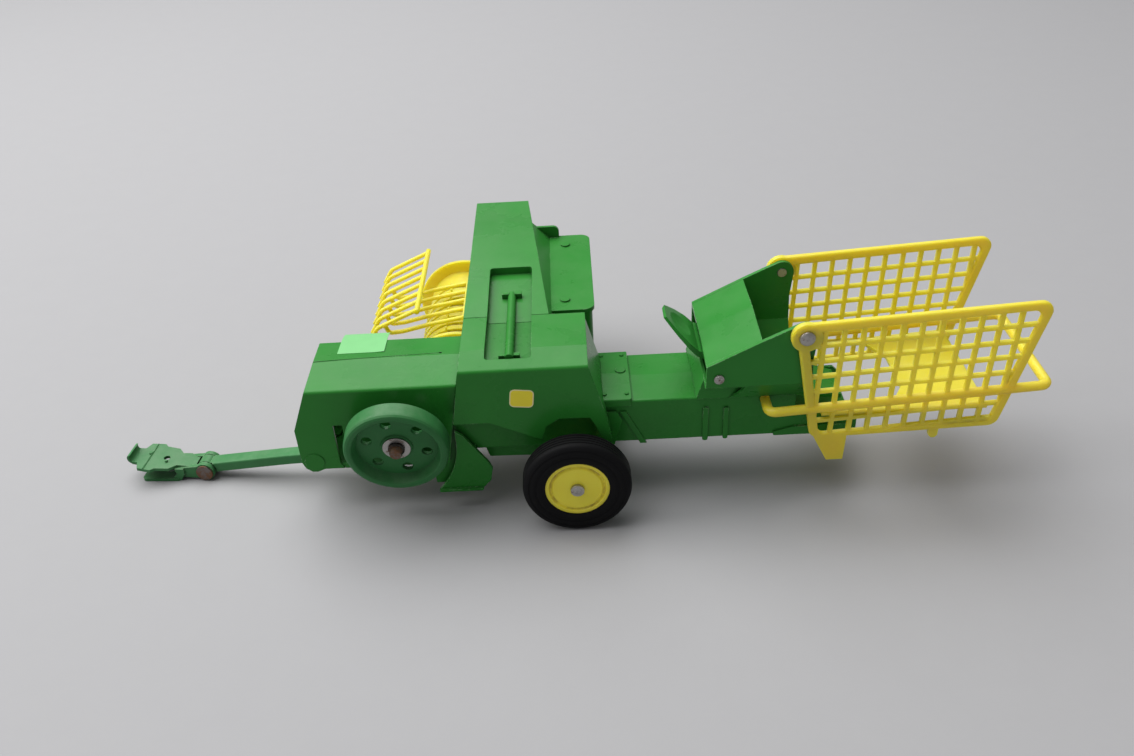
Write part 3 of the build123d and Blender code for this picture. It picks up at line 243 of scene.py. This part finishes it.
def makeDustFilm(values):
    # thin dust that lies on faces that look up
    group, enter, leave = startGroup(
        "dustFilm", [("Vector", "Vector", None), ("Amount", "Float", 0.2)], [("Mask", "Float")])
    link = group.links.new
    geometry = group.nodes.new("ShaderNodeNewGeometry")
    split = group.nodes.new("ShaderNodeSeparateXYZ")
    link(geometry.outputs["Normal"], split.inputs[0])
    up = remap(group, split.outputs["Z"], values["upFrom"], 1.0, values["sideShare"], 1.0)
    cloud = addNode(group, "ShaderNodeTexNoise", {"Scale": values["cloudScale"], "Detail": 6.0, "Roughness": 0.7})
    link(enter.outputs["Vector"], cloud.inputs["Vector"])
    cover = remap(group, cloud.outputs["Fac"], values["cloudFrom"], values["cloudTo"], 0.0, 1.0)
    film = doMath(group, "MULTIPLY", doMath(group, "MULTIPLY", up, cover), enter.outputs["Amount"])
    link(film, leave.inputs["Mask"])
    return group


creviceShadeShape = {"openFrom": 0.62, "openTo": 0.12}


def makeCreviceShade(values):
    # painted shade: darkens slots, holes and the space under covers, where shade falls
    group, enter, leave = startGroup(
        "creviceShade", [("Reach", "Float", 0.012), ("Strength", "Float", 1.0)], [("Mask", "Float")])
    link = group.links.new
    hollow = addNode(group, "ShaderNodeAmbientOcclusion", samples=6)
    link(enter.outputs["Reach"], hollow.inputs["Distance"])
    deep = remap(group, hollow.outputs["AO"], values["openFrom"], values["openTo"], 0.0, 1.0)
    link(doMath(group, "MULTIPLY", deep, enter.outputs["Strength"]), leave.inputs["Mask"])
    return group


edgeWearAndHighlight = makeEdgeWearAndHighlight(wearAndHighlightShape)
creviceShade = makeCreviceShade(creviceShadeShape)
fineSkin = makeFineSkin(skinShape)
dustFilm = makeDustFilm(dustShape)
print("shared node groups ready")


# finishes
def patchedColor(tree, skin, look):
    # two shades of one color, in slow patches
    return mixColor(tree, remap(tree, skin.outputs["Patches"], 0.3, 0.7, 0.0, 1.0), shade(*look["deep"]),
                    shade(*look["color"]))


def spreadRough(tree, skin, look):
    # gloss that changes a little from patch to patch
    less, more = look["roughSpread"]
    return remap(tree, skin.outputs["Patches"], 0.25, 0.75, look["rough"] + less, look["rough"] + more)


def finishBump(tree, shader, height, strength, distance, normal=None):
    bump = addNode(tree, "ShaderNodeBump", {"Strength": strength, "Distance": distance})
    tree.links.new(height, bump.inputs["Height"])
    if normal:
        tree.links.new(normal, bump.inputs["Normal"])
    tree.links.new(bump.outputs["Normal"], shader.inputs["Normal"])


def paintedFinish(name, look):
    # sprayed gloss enamel over a casting
    mat, tree, shader, coords = startMaterial(name, {
        "Roughness": look["rough"], "Specular IOR Level": look["specular"], "Coat Weight": look["coat"],
        "Coat Roughness": look["coatRough"]})
    link = tree.links.new
    skin = useGroup(tree, fineSkin, {"Wave Size": look["waveSize"], "Patch Size": look["patchSize"]})
    wearAndHighlight = useGroup(tree, edgeWearAndHighlight, {"Radius": look["edgeRadius"], "Chip And Highlight Amount": look["chipsAndHighlight"]})
    dust = useGroup(tree, dustFilm, {"Amount": look["dust"]})
    for node in (skin, wearAndHighlight, dust):
        link(coords, node.inputs["Vector"])
    body = patchedColor(tree, skin, look)
    specked = mixColor(tree, skin.outputs["Specks"], body, shade(*look["speck"]))
    dusty = mixColor(tree, dust.outputs["Mask"], specked, shade(*look["dustColor"]))
    # worn chips along the edges, in a pale green that also serves as painted edge highlight
    wornAndHighlit = mixColor(tree, wearAndHighlight.outputs["Mask"], dusty, shade(*look["under"]))
    # painted shade: the paint goes near black in slots, holes and under covers
    paintedCreviceShade = useGroup(tree, creviceShade, {"Strength": look["paintedCreviceShade"]})
    link(mixColor(tree, paintedCreviceShade.outputs["Mask"], wornAndHighlit, shade(*look["creviceShadeColor"])), shader.inputs["Base Color"])
    matted = spreadRough(tree, skin, look)
    link(doMath(tree, "ADD", matted, doMath(tree, "MULTIPLY", dust.outputs["Mask"], look["dustMatt"])),
         shader.inputs["Roughness"])
    finishBump(tree, shader, skin.outputs["Height"], look["bump"], 0.0002, wearAndHighlight.outputs["Normal"])
    return mat


greenLook = {
    "color": (0.025, 0.214, 0.027), "deep": (0.021, 0.188, 0.023), "speck": (0.060, 0.26, 0.060),
    "under": (0.30, 0.50, 0.28), "rough": 0.27, "coat": 0.05, "coatRough": 0.12, "waveSize": 420.0,
    "edgeRadius": 0.00045, "chipsAndHighlight": 0.36, "bump": 0.06, "dust": 0.05, "paintedCreviceShade": 0.9,
    "creviceShadeColor": (0.006, 0.020, 0.007), "dustColor": (0.42, 0.45, 0.36), "dustMatt": 0.35, "specular": 0.15,
    "patchSize": 40.0, "roughSpread": (-0.05, 0.08),
}
flyLook = dict(greenLook, color=(0.030, 0.175, 0.048), deep=(0.024, 0.145, 0.038), rough=0.36, coat=0.04,
               dust=0.16, chipsAndHighlight=0.15)
hitchLook = dict(greenLook, color=(0.050, 0.215, 0.072), deep=(0.035, 0.165, 0.050), rough=0.34, dust=0.18,
                 chipsAndHighlight=0.4)
greenEnamel = paintedFinish("greenEnamel", greenLook)
flywheelEnamel = paintedFinish("flywheelEnamel", flyLook)
hitchEnamel = paintedFinish("hitchEnamel", hitchLook)

yellowLook = {
    "color": (0.77, 0.625, 0.050), "deep": (0.73, 0.57, 0.034), "rough": 0.36, "bump": 0.08, "glow": 0.9,
    "glowColor": (1.0, 0.8, 0.15), "glowReach": 0.008, "specular": 0.45, "waveSize": 480.0, "patchSize": 60.0,
    "edgeRadius": 0.00035, "dust": 0.10, "dustColor": (0.62, 0.56, 0.36), "speck": (0.35, 0.22, 0.02),
    "speckShare": 0.5, "roughSpread": (-0.05, 0.10),
}


def mouldedYellow(name, look, ringAt=None):
    # moulded plastic, a little light passes into it; ringAt puts grime round a hub
    mat, tree, shader, coords = startMaterial(name, {
        "Roughness": look["rough"], "Specular IOR Level": look["specular"], "Subsurface Weight": look["glow"],
        "Subsurface Radius": look["glowColor"], "Subsurface Scale": look["glowReach"]})
    link = tree.links.new
    skin = useGroup(tree, fineSkin, {"Wave Size": look["waveSize"], "Patch Size": look["patchSize"]})
    wearAndHighlight = useGroup(tree, edgeWearAndHighlight, {"Radius": look["edgeRadius"], "Chip And Highlight Amount": 0.0})
    dust = useGroup(tree, dustFilm, {"Amount": look["dust"]})
    for node in (skin, wearAndHighlight, dust):
        link(coords, node.inputs["Vector"])
    body = patchedColor(tree, skin, look)
    specks = doMath(tree, "MULTIPLY", skin.outputs["Specks"], look["speckShare"])
    body = mixColor(tree, specks, body, shade(*look["speck"]))
    body = mixColor(tree, dust.outputs["Mask"], body, shade(*look["dustColor"]))
    if ringAt:
        body = addGrimeRing(tree, coords, body, ringAt)
    link(body, shader.inputs["Base Color"])
    link(spreadRough(tree, skin, look), shader.inputs["Roughness"])
    finishBump(tree, shader, skin.outputs["Height"], look["bump"], 0.0002, wearAndHighlight.outputs["Normal"])
    return mat


grime = {
    "ringRadius": 11.6, "ringWidth": 0.9, "color": (0.30, 0.16, 0.03),   # mm
    "blotScale": 160.0, "blotFrom": 0.38, "blotTo": 0.66, "most": 0.85,
}


def addGrimeRing(tree, coords, body, centre):
    # brown dirt in the groove round the hub, in blotches
    shift = addNode(tree, "ShaderNodeVectorMath", operation="SUBTRACT")
    tree.links.new(coords, shift.inputs[0])
    shift.inputs[1].default_value = centre
    flat = addNode(tree, "ShaderNodeVectorMath", operation="MULTIPLY")
    tree.links.new(shift.outputs[0], flat.inputs[0])
    flat.inputs[1].default_value = (1, 0, 1)
    reach = addNode(tree, "ShaderNodeVectorMath", operation="LENGTH")
    tree.links.new(flat.outputs[0], reach.inputs[0])
    off = doMath(tree, "ABSOLUTE", doMath(tree, "SUBTRACT", reach.outputs["Value"], grime["ringRadius"] * mm))
    ring = remap(tree, off, grime["ringWidth"] * mm, 0.0, 0.0, 1.0)
    blot = addNode(tree, "ShaderNodeTexNoise", {"Scale": grime["blotScale"], "Detail": 5.0, "Roughness": 0.7})
    tree.links.new(coords, blot.inputs["Vector"])
    part = remap(tree, blot.outputs["Fac"], grime["blotFrom"], grime["blotTo"], 0.0, grime["most"])
    return mixColor(tree, doMath(tree, "MULTIPLY", ring, part), body, shade(*grime["color"]))


yellowPlastic = mouldedYellow("yellowPlastic", yellowLook)
# painted light: the rims sit on the shaded side, so they get a brighter copy of the same yellow than the basket
rimShadeLiftLook = dict(yellowLook, color=(0.99, 0.86, 0.058), deep=(0.96, 0.80, 0.044), glow=0.2)

steelLook = {
    "color": (0.50, 0.49, 0.47), "dull": (0.33, 0.31, 0.29), "rust": (0.16, 0.075, 0.035), "rough": 0.36,
    "rustRough": 0.75, "metal": 0.95, "rustMetal": 0.25, "waveSize": 1500.0, "patchSize": 260.0,
    "edgeRadius": 0.00025, "blotScale": 330.0, "bump": 0.3,
}


def platedSteel(name, look, rustAmount):
    mat, tree, shader, coords = startMaterial(name, {"Roughness": look["rough"]})
    link = tree.links.new
    skin = useGroup(tree, fineSkin, {"Wave Size": look["waveSize"], "Patch Size": look["patchSize"]})
    wearAndHighlight = useGroup(tree, edgeWearAndHighlight, {"Radius": look["edgeRadius"], "Chip And Highlight Amount": 0.0})
    blot = addNode(tree, "ShaderNodeTexNoise", {"Scale": look["blotScale"], "Detail": 6.0, "Roughness": 0.75})
    for node in (skin, wearAndHighlight, blot):
        link(coords, node.inputs["Vector"])
    rust = remap(tree, blot.outputs["Fac"], 0.62 - 0.3 * rustAmount, 0.70 - 0.2 * rustAmount, 0.0, 1.0)
    body = mixColor(tree, skin.outputs["Patches"], shade(*look["dull"]), shade(*look["color"]))
    link(mixColor(tree, rust, body, shade(*look["rust"])), shader.inputs["Base Color"])
    link(remap(tree, rust, 0.0, 1.0, look["metal"], look["rustMetal"]), shader.inputs["Metallic"])
    link(remap(tree, rust, 0.0, 1.0, look["rough"], look["rustRough"]), shader.inputs["Roughness"])
    finishBump(tree, shader, blot.outputs["Fac"], look["bump"], 0.0001, wearAndHighlight.outputs["Normal"])
    return mat


cleanSteel = platedSteel("cleanSteel", steelLook, 0.15)
# near-black steel for the flywheel collar, a dark ring round the stub
darkGrease = platedSteel("darkGrease", dict(steelLook, color=(0.05, 0.045, 0.04), dull=(0.02, 0.02, 0.018)), 0.3)
rustySteel = platedSteel("rustySteel", dict(steelLook, color=(0.20, 0.18, 0.17), dull=(0.12, 0.10, 0.09)), 0.75)

tireLook = {"color": (0.006, 0.006, 0.007), "dusty": (0.013, 0.013, 0.012), "speck": (0.25, 0.25, 0.23),
            "rough": 0.56, "specular": 0.08, "waveSize": 1300.0, "patchSize": 85.0, "dust": 0.25,
            "patchShare": 0.35, "speckShare": 0.6, "bump": 0.25}


def moldedRubber(name, look):
    mat, tree, shader, coords = startMaterial(name, {"Roughness": look["rough"],
                                                     "Specular IOR Level": look["specular"]})
    link = tree.links.new
    skin = useGroup(tree, fineSkin, {"Wave Size": look["waveSize"], "Patch Size": look["patchSize"]})
    dust = useGroup(tree, dustFilm, {"Amount": look["dust"]})
    for node in (skin, dust):
        link(coords, node.inputs["Vector"])
    body = mixColor(tree, doMath(tree, "MULTIPLY", skin.outputs["Patches"], look["patchShare"]),
                    shade(*look["color"]), shade(*look["dusty"]))
    body = mixColor(tree, dust.outputs["Mask"], body, shade(*look["dusty"]))
    specks = doMath(tree, "MULTIPLY", skin.outputs["Specks"], look["speckShare"])
    body = mixColor(tree, specks, body, shade(*look["speck"]))
    link(body, shader.inputs["Base Color"])
    link(remap(tree, skin.outputs["Patches"], 0.2, 0.8, look["rough"] - 0.08, look["rough"] + 0.14),
         shader.inputs["Roughness"])
    finishBump(tree, shader, skin.outputs["Height"], look["bump"], 0.00012)
    return mat


tireRubber = moldedRubber("tireRubber", tireLook)


def printedPaper(name, color, rough, fibre):
    # flat printed stock, with fibres that show in the gloss
    mat, tree, shader, coords = startMaterial(name, {"Roughness": rough, "Specular IOR Level": 0.4})
    grain = addNode(tree, "ShaderNodeTexNoise", {"Scale": 900.0, "Detail": 6.0, "Roughness": 0.7})
    slow = addNode(tree, "ShaderNodeTexNoise", {"Scale": 120.0, "Detail": 3.0})
    for node in (grain, slow):
        tree.links.new(coords, node.inputs["Vector"])
    dark = tuple(v * 0.88 for v in color)
    tree.links.new(mixColor(tree, slow.outputs["Fac"], shade(*dark), shade(*color)), shader.inputs["Base Color"])
    finishBump(tree, shader, grain.outputs["Fac"], fibre, 0.0001)
    return mat


badgeYellow = printedPaper("badgeYellow", (0.98, 0.83, 0.03), 0.30, 0.05)
badgeRim = printedPaper("badgeRim", (0.92, 0.84, 0.45), 0.30, 0.05)
stickerPaper = printedPaper("stickerPaper", (0.19, 0.53, 0.20), 0.62, 0.25)
print("finishes ready")


# helpers for the pieces
def finishPiece(bm, name, body, mats, smoothAngle=35):
    mesh = bpy.data.meshes.new(name)
    bmesh.ops.recalc_face_normals(bm, faces=bm.faces)
    bm.to_mesh(mesh)
    bm.free()
    for mat in mats:
        mesh.materials.append(mat)
    piece = bpy.data.objects.new(name, mesh)
    bpy.context.scene.collection.objects.link(piece)
    mesh.shade_smooth()
    mesh.set_sharp_from_angle(angle=math.radians(smoothAngle))
    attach(piece, body)
    return piece


def spinProfile(bm, rows, centre, axis, steps):
    # rows are (radius, along the axis) in mm, turned a full turn about the axis through centre
    axis = Vector(axis).normalized()
    side = axis.cross(Vector((0, 1, 0))) if abs(axis.y) < 0.9 else Vector((1, 0, 0))
    side = (side - axis * side.dot(axis)).normalized()
    points = [bm.verts.new(centre + side * r * mm + axis * along * mm) for r, along in rows]
    edges = [bm.edges.new(pair) for pair in zip(points, points[1:])]
    if rows[0] != rows[-1] and rows[0][0] > 0 and rows[-1][0] > 0:
        edges.append(bm.edges.new((points[-1], points[0])))
    bmesh.ops.spin(bm, geom=points + edges, cent=centre, axis=axis, angle=math.tau, steps=steps, use_merge=True)
    bmesh.ops.remove_doubles(bm, verts=bm.verts, dist=0.00001)


# tires, in place of the plain ones
tireShape = {
    "side": ((13.9, 0.7), (14.6, 0.35), (15.4, 0.15), (16.4, 0.0), (17.2, 0.0), (17.5, 0.28), (18.0, 0.28),
             (18.3, 0.05), (20.0, 0.2), (20.4, 0.55), (20.9, 0.6), (21.2, 0.42), (22.0, 0.7), (22.7, 1.1),
             (23.2, 1.7), (23.5, 2.5)),   # radius and depth of one side wall, mm
    "groove": 0.35, "grooves": (3.4, 5.0, 6.6, 8.2), "grooveWidth": 0.5, "steps": 128,
}


def makeTire(sideName, values):
    low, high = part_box("wheel_" + sideName + "_tire")
    width = (high[1] - low[1]) / mm
    centre = Vector(((low[0] + high[0]) / 2, low[1], (low[2] + high[2]) / 2))
    side = list(values["side"])
    crown = side[-1][0]
    tread = []
    for at in values["grooves"]:
        edge = values["grooveWidth"] / 2
        tread += [(crown, at - edge), (crown - values["groove"], at - edge * 0.5),
                  (crown - values["groove"], at + edge * 0.5), (crown, at + edge)]
    rows = side + tread + [(r, width - along) for r, along in side[::-1]]
    bm = bmesh.new()
    spinProfile(bm, rows, centre, (0, 1, 0), values["steps"])
    tire = finishPiece(bm, sideName + "Tire", "wheel_" + sideName, [tireRubber], 50)
    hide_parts("wheel_" + sideName + "_tire")


for sideName in ("left", "right"):
    makeTire(sideName, tireShape)
print("tires made")

# blank badge on the cover's near side
badge = {
    "x": -14.8, "z": 61.5, "width": 10.2, "height": 9.0, "corner": 2.1, "thick": 0.12, "rim": 0.45,   # mm
    "turn": -6.0, "cornerSteps": 6,
}


def makeBadge(values):
    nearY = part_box("main_cover")[0][1]
    bm = bmesh.new()
    bmesh.ops.create_grid(bm, x_segments=1, y_segments=1, size=0.5)
    bmesh.ops.scale(bm, vec=(values["width"] * mm, values["height"] * mm, 1), verts=bm.verts)
    bmesh.ops.bevel(bm, geom=bm.verts[:], offset=values["corner"] * mm, offset_type="OFFSET",
                    segments=values["cornerSteps"], profile=0.5, affect="VERTICES", material=-1)
    top = bm.faces[:]
    raised = bmesh.ops.extrude_face_region(bm, geom=top)
    lifted = [v for v in raised["geom"] if isinstance(v, bmesh.types.BMVert)]
    bmesh.ops.translate(bm, vec=(0, 0, values["thick"] * mm), verts=lifted)
    face = max(bm.faces, key=lambda f: f.calc_center_median().z)
    bmesh.ops.inset_individual(bm, faces=[face], thickness=values["rim"] * mm, depth=0.0)
    for f in bm.faces:
        f.material_index = 1
    face.material_index = 0
    bmesh.ops.rotate(bm, cent=(0, 0, 0), matrix=Matrix.Rotation(math.radians(values["turn"]), 3, "Z"),
                     verts=bm.verts)
    bmesh.ops.rotate(bm, cent=(0, 0, 0), matrix=Matrix.Rotation(math.radians(90), 3, "X"), verts=bm.verts)
    place = spot(values["x"], 0, values["z"])
    bmesh.ops.translate(bm, vec=(place.x, nearY - 0.00002, place.z), verts=bm.verts)
    finishPiece(bm, "blankBadge", "machine", [badgeYellow, badgeRim])


makeBadge(badge)

# blank price sticker on the hood, half over its far edge
sticker = {
    "left": -97.0, "right": -76.0, "near": 6.0, "far": 30.5, "skew": 1.0, "thick": 0.12, "off": 0.03,   # mm
    "fall": 0.15,   # of the hood's top, per mm towards its far edge
    "curl": 1.6, "curlFrom": 2, "curlReach": 12,   # mm that the free end hangs down past the edge
    "lift": 0.25, "liftFrom": 0.8, "columns": 12, "rows": 16,   # the near right corner stands up
}


def makeSticker(values):
    low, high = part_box("front_hood")
    crownZ = high[2] / mm
    edgeY = (high[1] / mm) + midY
    bm = bmesh.new()
    bmesh.ops.create_grid(bm, x_segments=values["columns"], y_segments=values["rows"], size=0.5)
    for v in bm.verts:
        u, w = v.co.x + 0.5, v.co.y + 0.5
        y = values["near"] + (values["far"] - values["near"]) * w
        x = values["left"] + (values["right"] - values["left"]) * u - values["skew"] * w
        z = crownZ - values["fall"] * y + values["off"]
        if y > edgeY - values["curlFrom"]:
            z -= values["curl"] * ((y - edgeY + values["curlFrom"]) / values["curlReach"]) ** 2
        z += values["lift"] * (1 - w) * max(0.0, u - values["liftFrom"]) / (1 - values["liftFrom"])
        v.co = spot(x, y, z)
    bmesh.ops.solidify(bm, geom=bm.faces[:], thickness=-values["thick"] * mm)
    finishPiece(bm, "blankSticker", "machine", [stickerPaper])


makeSticker(sticker)
print("badge and sticker made")

# small raised marks, on faces that look up
markShape = {"steps": 28, "sunk": 0.3, "taper": 0.8}   # mm, and the top's share of the foot
marks = [   # name, body, finish, slot, x, y, z, radius, height
    ("headPeg", "hitch", "hitchEnamel", "green_paint", -198.9, 15.4, 9.9, 1.0, 0.7),
    ("headPegSmall", "hitch", "hitchEnamel", "green_paint", -190.0, 9.6, 9.3, 0.8, 0.6),
]


def makeMark(name, body, finish, slotName, x, y, z, radius, height):
    bm = bmesh.new()
    bmesh.ops.create_circle(bm, cap_ends=True, segments=markShape["steps"], radius=radius * mm)
    raised = bmesh.ops.extrude_face_region(bm, geom=bm.faces[:])
    lifted = [v for v in raised["geom"] if isinstance(v, bmesh.types.BMVert)]
    bmesh.ops.translate(bm, vec=(0, 0, height * mm), verts=lifted)
    bmesh.ops.scale(bm, vec=(markShape["taper"], markShape["taper"], 1), verts=lifted)
    bmesh.ops.translate(bm, vec=spot(x, y, z - markShape["sunk"]), verts=bm.verts)
    finishPiece(bm, name, body, [bpy.data.materials[finish]])


for row in marks:
    makeMark(*row)
print("marks made")

# peened ends of the pins, and the worn stub that carries the flywheel
peened = {
    "crownHeight": 0.35, "dimple": 0.5, "foot": 0.2, "headSteps": 32,   # mm
    "notchBand": (0.4, 0.9), "notchTurn": 20, "notchHalf": 12,   # shares of the radius, degrees
}
stub = {"radius": 2.8, "length": 2.9, "collarRadius": 3.6, "collarThick": 0.6, "droop": 8.0, "steps": 40}
pinEnds = [   # node, side of the machine, head radius
    ("basket_rivet_left", -1, 2.6),
    ("basket_rivet_right", 1, 2.6),
    ("lever_pin", -1, 1.7),
    ("lever_pin", 1, 1.7),
    ("axle", -1, 1.9),
    ("axle", 1, 1.9),
]


def makePinEnd(nodeName, side, radius, values):
    # a domed head with a dimple and four struck notches
    low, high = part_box(nodeName)
    centre = Vector(((low[0] + high[0]) / 2, high[1] if side > 0 else low[1], (low[2] + high[2]) / 2))
    crown = values["crownHeight"]
    rows = [(radius, -values["foot"]), (radius, 0.02), (radius * 0.82, crown * 0.75), (radius * 0.5, crown),
            (values["dimple"], crown), (values["dimple"] * 0.6, crown * 0.35), (0, crown * 0.3)]
    bm = bmesh.new()
    spinProfile(bm, rows, centre, (0, side, 0), values["headSteps"])
    bandIn, bandOut = (radius * share for share in values["notchBand"])
    for v in bm.verts:
        reach = Vector((v.co.x - centre.x, 0, v.co.z - centre.z))
        if bandIn < reach.length / mm < bandOut:
            turn = math.degrees(math.atan2(reach.z, reach.x)) + values["notchTurn"]
            if abs((turn % 90) - 45) > 45 - values["notchHalf"]:
                v.co.y -= side * crown * 0.5 * mm
    finishPiece(bm, nodeName + ("_endRight" if side > 0 else "_endLeft"), "machine", [cleanSteel])


def makeStub(values):
    # worn shaft end with a dark collar, on the drooping flywheel pin
    low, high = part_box("flywheel_pin")
    droop = math.radians(values["droop"])
    out = Vector((0, -math.cos(droop), -math.sin(droop)))
    flyLow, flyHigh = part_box("flywheel")
    hub = (Vector(flyLow) + Vector(flyHigh)) / 2
    tip = hub + out * (hub.y - low[1]) / math.cos(droop)
    radius, long, steps = values["radius"], values["length"], values["steps"]
    bm = bmesh.new()
    spinProfile(bm, [(radius, -long), (radius, -0.5), (radius * 0.86, 0.25), (0, 0.3)], tip, out, steps)
    finishPiece(bm, "flywheelStub", "machine", [rustySteel])
    collar, foot, bore = values["collarRadius"], -long - values["collarThick"], radius - 0.2
    bm = bmesh.new()
    spinProfile(bm, [(collar, foot), (collar, -long), (bore, 0.5 - long), (bore, foot)], tip, out, steps)
    finishPiece(bm, "flywheelCollar", "machine", [darkGrease])


for nodeName, side, radius in pinEnds:
    makePinEnd(nodeName, side, radius, peened)
makeStub(stub)
print("pin ends made")

# finishes for the carried-over nodes
wheelAt = {}
for sideName in ("left", "right"):
    low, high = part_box("wheel_" + sideName + "_rim")
    centre = ((low[0] + high[0]) / 2, 0.0, (low[2] + high[2]) / 2)
    # the rims take the brightened yellow copy, painted light for their shaded side
    wheelAt[sideName] = mouldedYellow("rimYellow_" + sideName, rimShadeLiftLook, centre)

nodeFinish = {
    "bale_chamber": greenEnamel, "axle_frame": greenEnamel, "strap_plate": greenEnamel,
    "ejector_housing": greenEnamel, "kick_lever": greenEnamel, "main_cover": greenEnamel,
    "feeder_housing": greenEnamel, "cover_rod": greenEnamel, "front_hood": greenEnamel,
    "flywheel_guard": greenEnamel, "tongue_pin": greenEnamel, "flywheel": flywheelEnamel,
    "tongue": hitchEnamel, "hitch_head": hitchEnamel, "basket": yellowPlastic, "pickup_cage": yellowPlastic,
    "pickup_reel": yellowPlastic, "windguard": yellowPlastic, "wheel_left_rim": wheelAt["left"],
    "wheel_right_rim": wheelAt["right"], "basket_rivet_left": cleanSteel, "basket_rivet_right": cleanSteel,
    "lever_pin": cleanSteel, "flywheel_pin": cleanSteel, "hitch_pin": rustySteel, "axle": cleanSteel,
    "pickup_shaft": cleanSteel,
}
for nodeName, mat in nodeFinish.items():
    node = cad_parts[nodeName]
    node.data.materials.clear()
    node.data.materials.append(mat)
print("node finishes set")


# floor and light
def makeFloor(values):
    mat, tree, shader, coords = startMaterial("floorPaper", {"Specular IOR Level": 0.25,
                                                             "Roughness": values["floorRough"]})
    grain = addNode(tree, "ShaderNodeTexNoise", {"Scale": 60.0, "Detail": 6.0, "Roughness": 0.7})
    tree.links.new(coords, grain.inputs["Vector"])
    light = tuple(v * values["floorFleck"] for v in values["floorColor"])
    tree.links.new(mixColor(tree, grain.outputs["Fac"], shade(*values["floorColor"]), shade(*light)),
                   shader.inputs["Base Color"])
    bm = bmesh.new()
    bmesh.ops.create_grid(bm, x_segments=1, y_segments=1, size=values["floorSize"] / 2)
    mesh = bpy.data.meshes.new("floor")
    bm.to_mesh(mesh)
    bm.free()
    mesh.materials.append(mat)
    floor = bpy.data.objects.new("floor", mesh)
    bpy.context.scene.collection.objects.link(floor)


def lightWorld(values):
    world = bpy.data.worlds.new("softRoom")
    bpy.context.scene.world = world
    world.use_nodes = True
    back = world.node_tree.nodes["Background"]
    back.inputs["Color"].default_value = shade(*values["worldColor"])
    back.inputs["Strength"].default_value = values["worldStrength"]


makeFloor(studio)
addLamp("windowLamp", studio["windowPlace"], studio["windowSize"], studio["windowPower"], (1.0, 0.99, 0.97))
addLamp("ceilingLamp", studio["ceilingPlace"], studio["ceilingSize"], studio["ceilingPower"], (1.0, 1.0, 1.0))
lightWorld(studio)
bpy.context.scene.view_settings.view_transform = "Standard"
print("floor and lamps set")
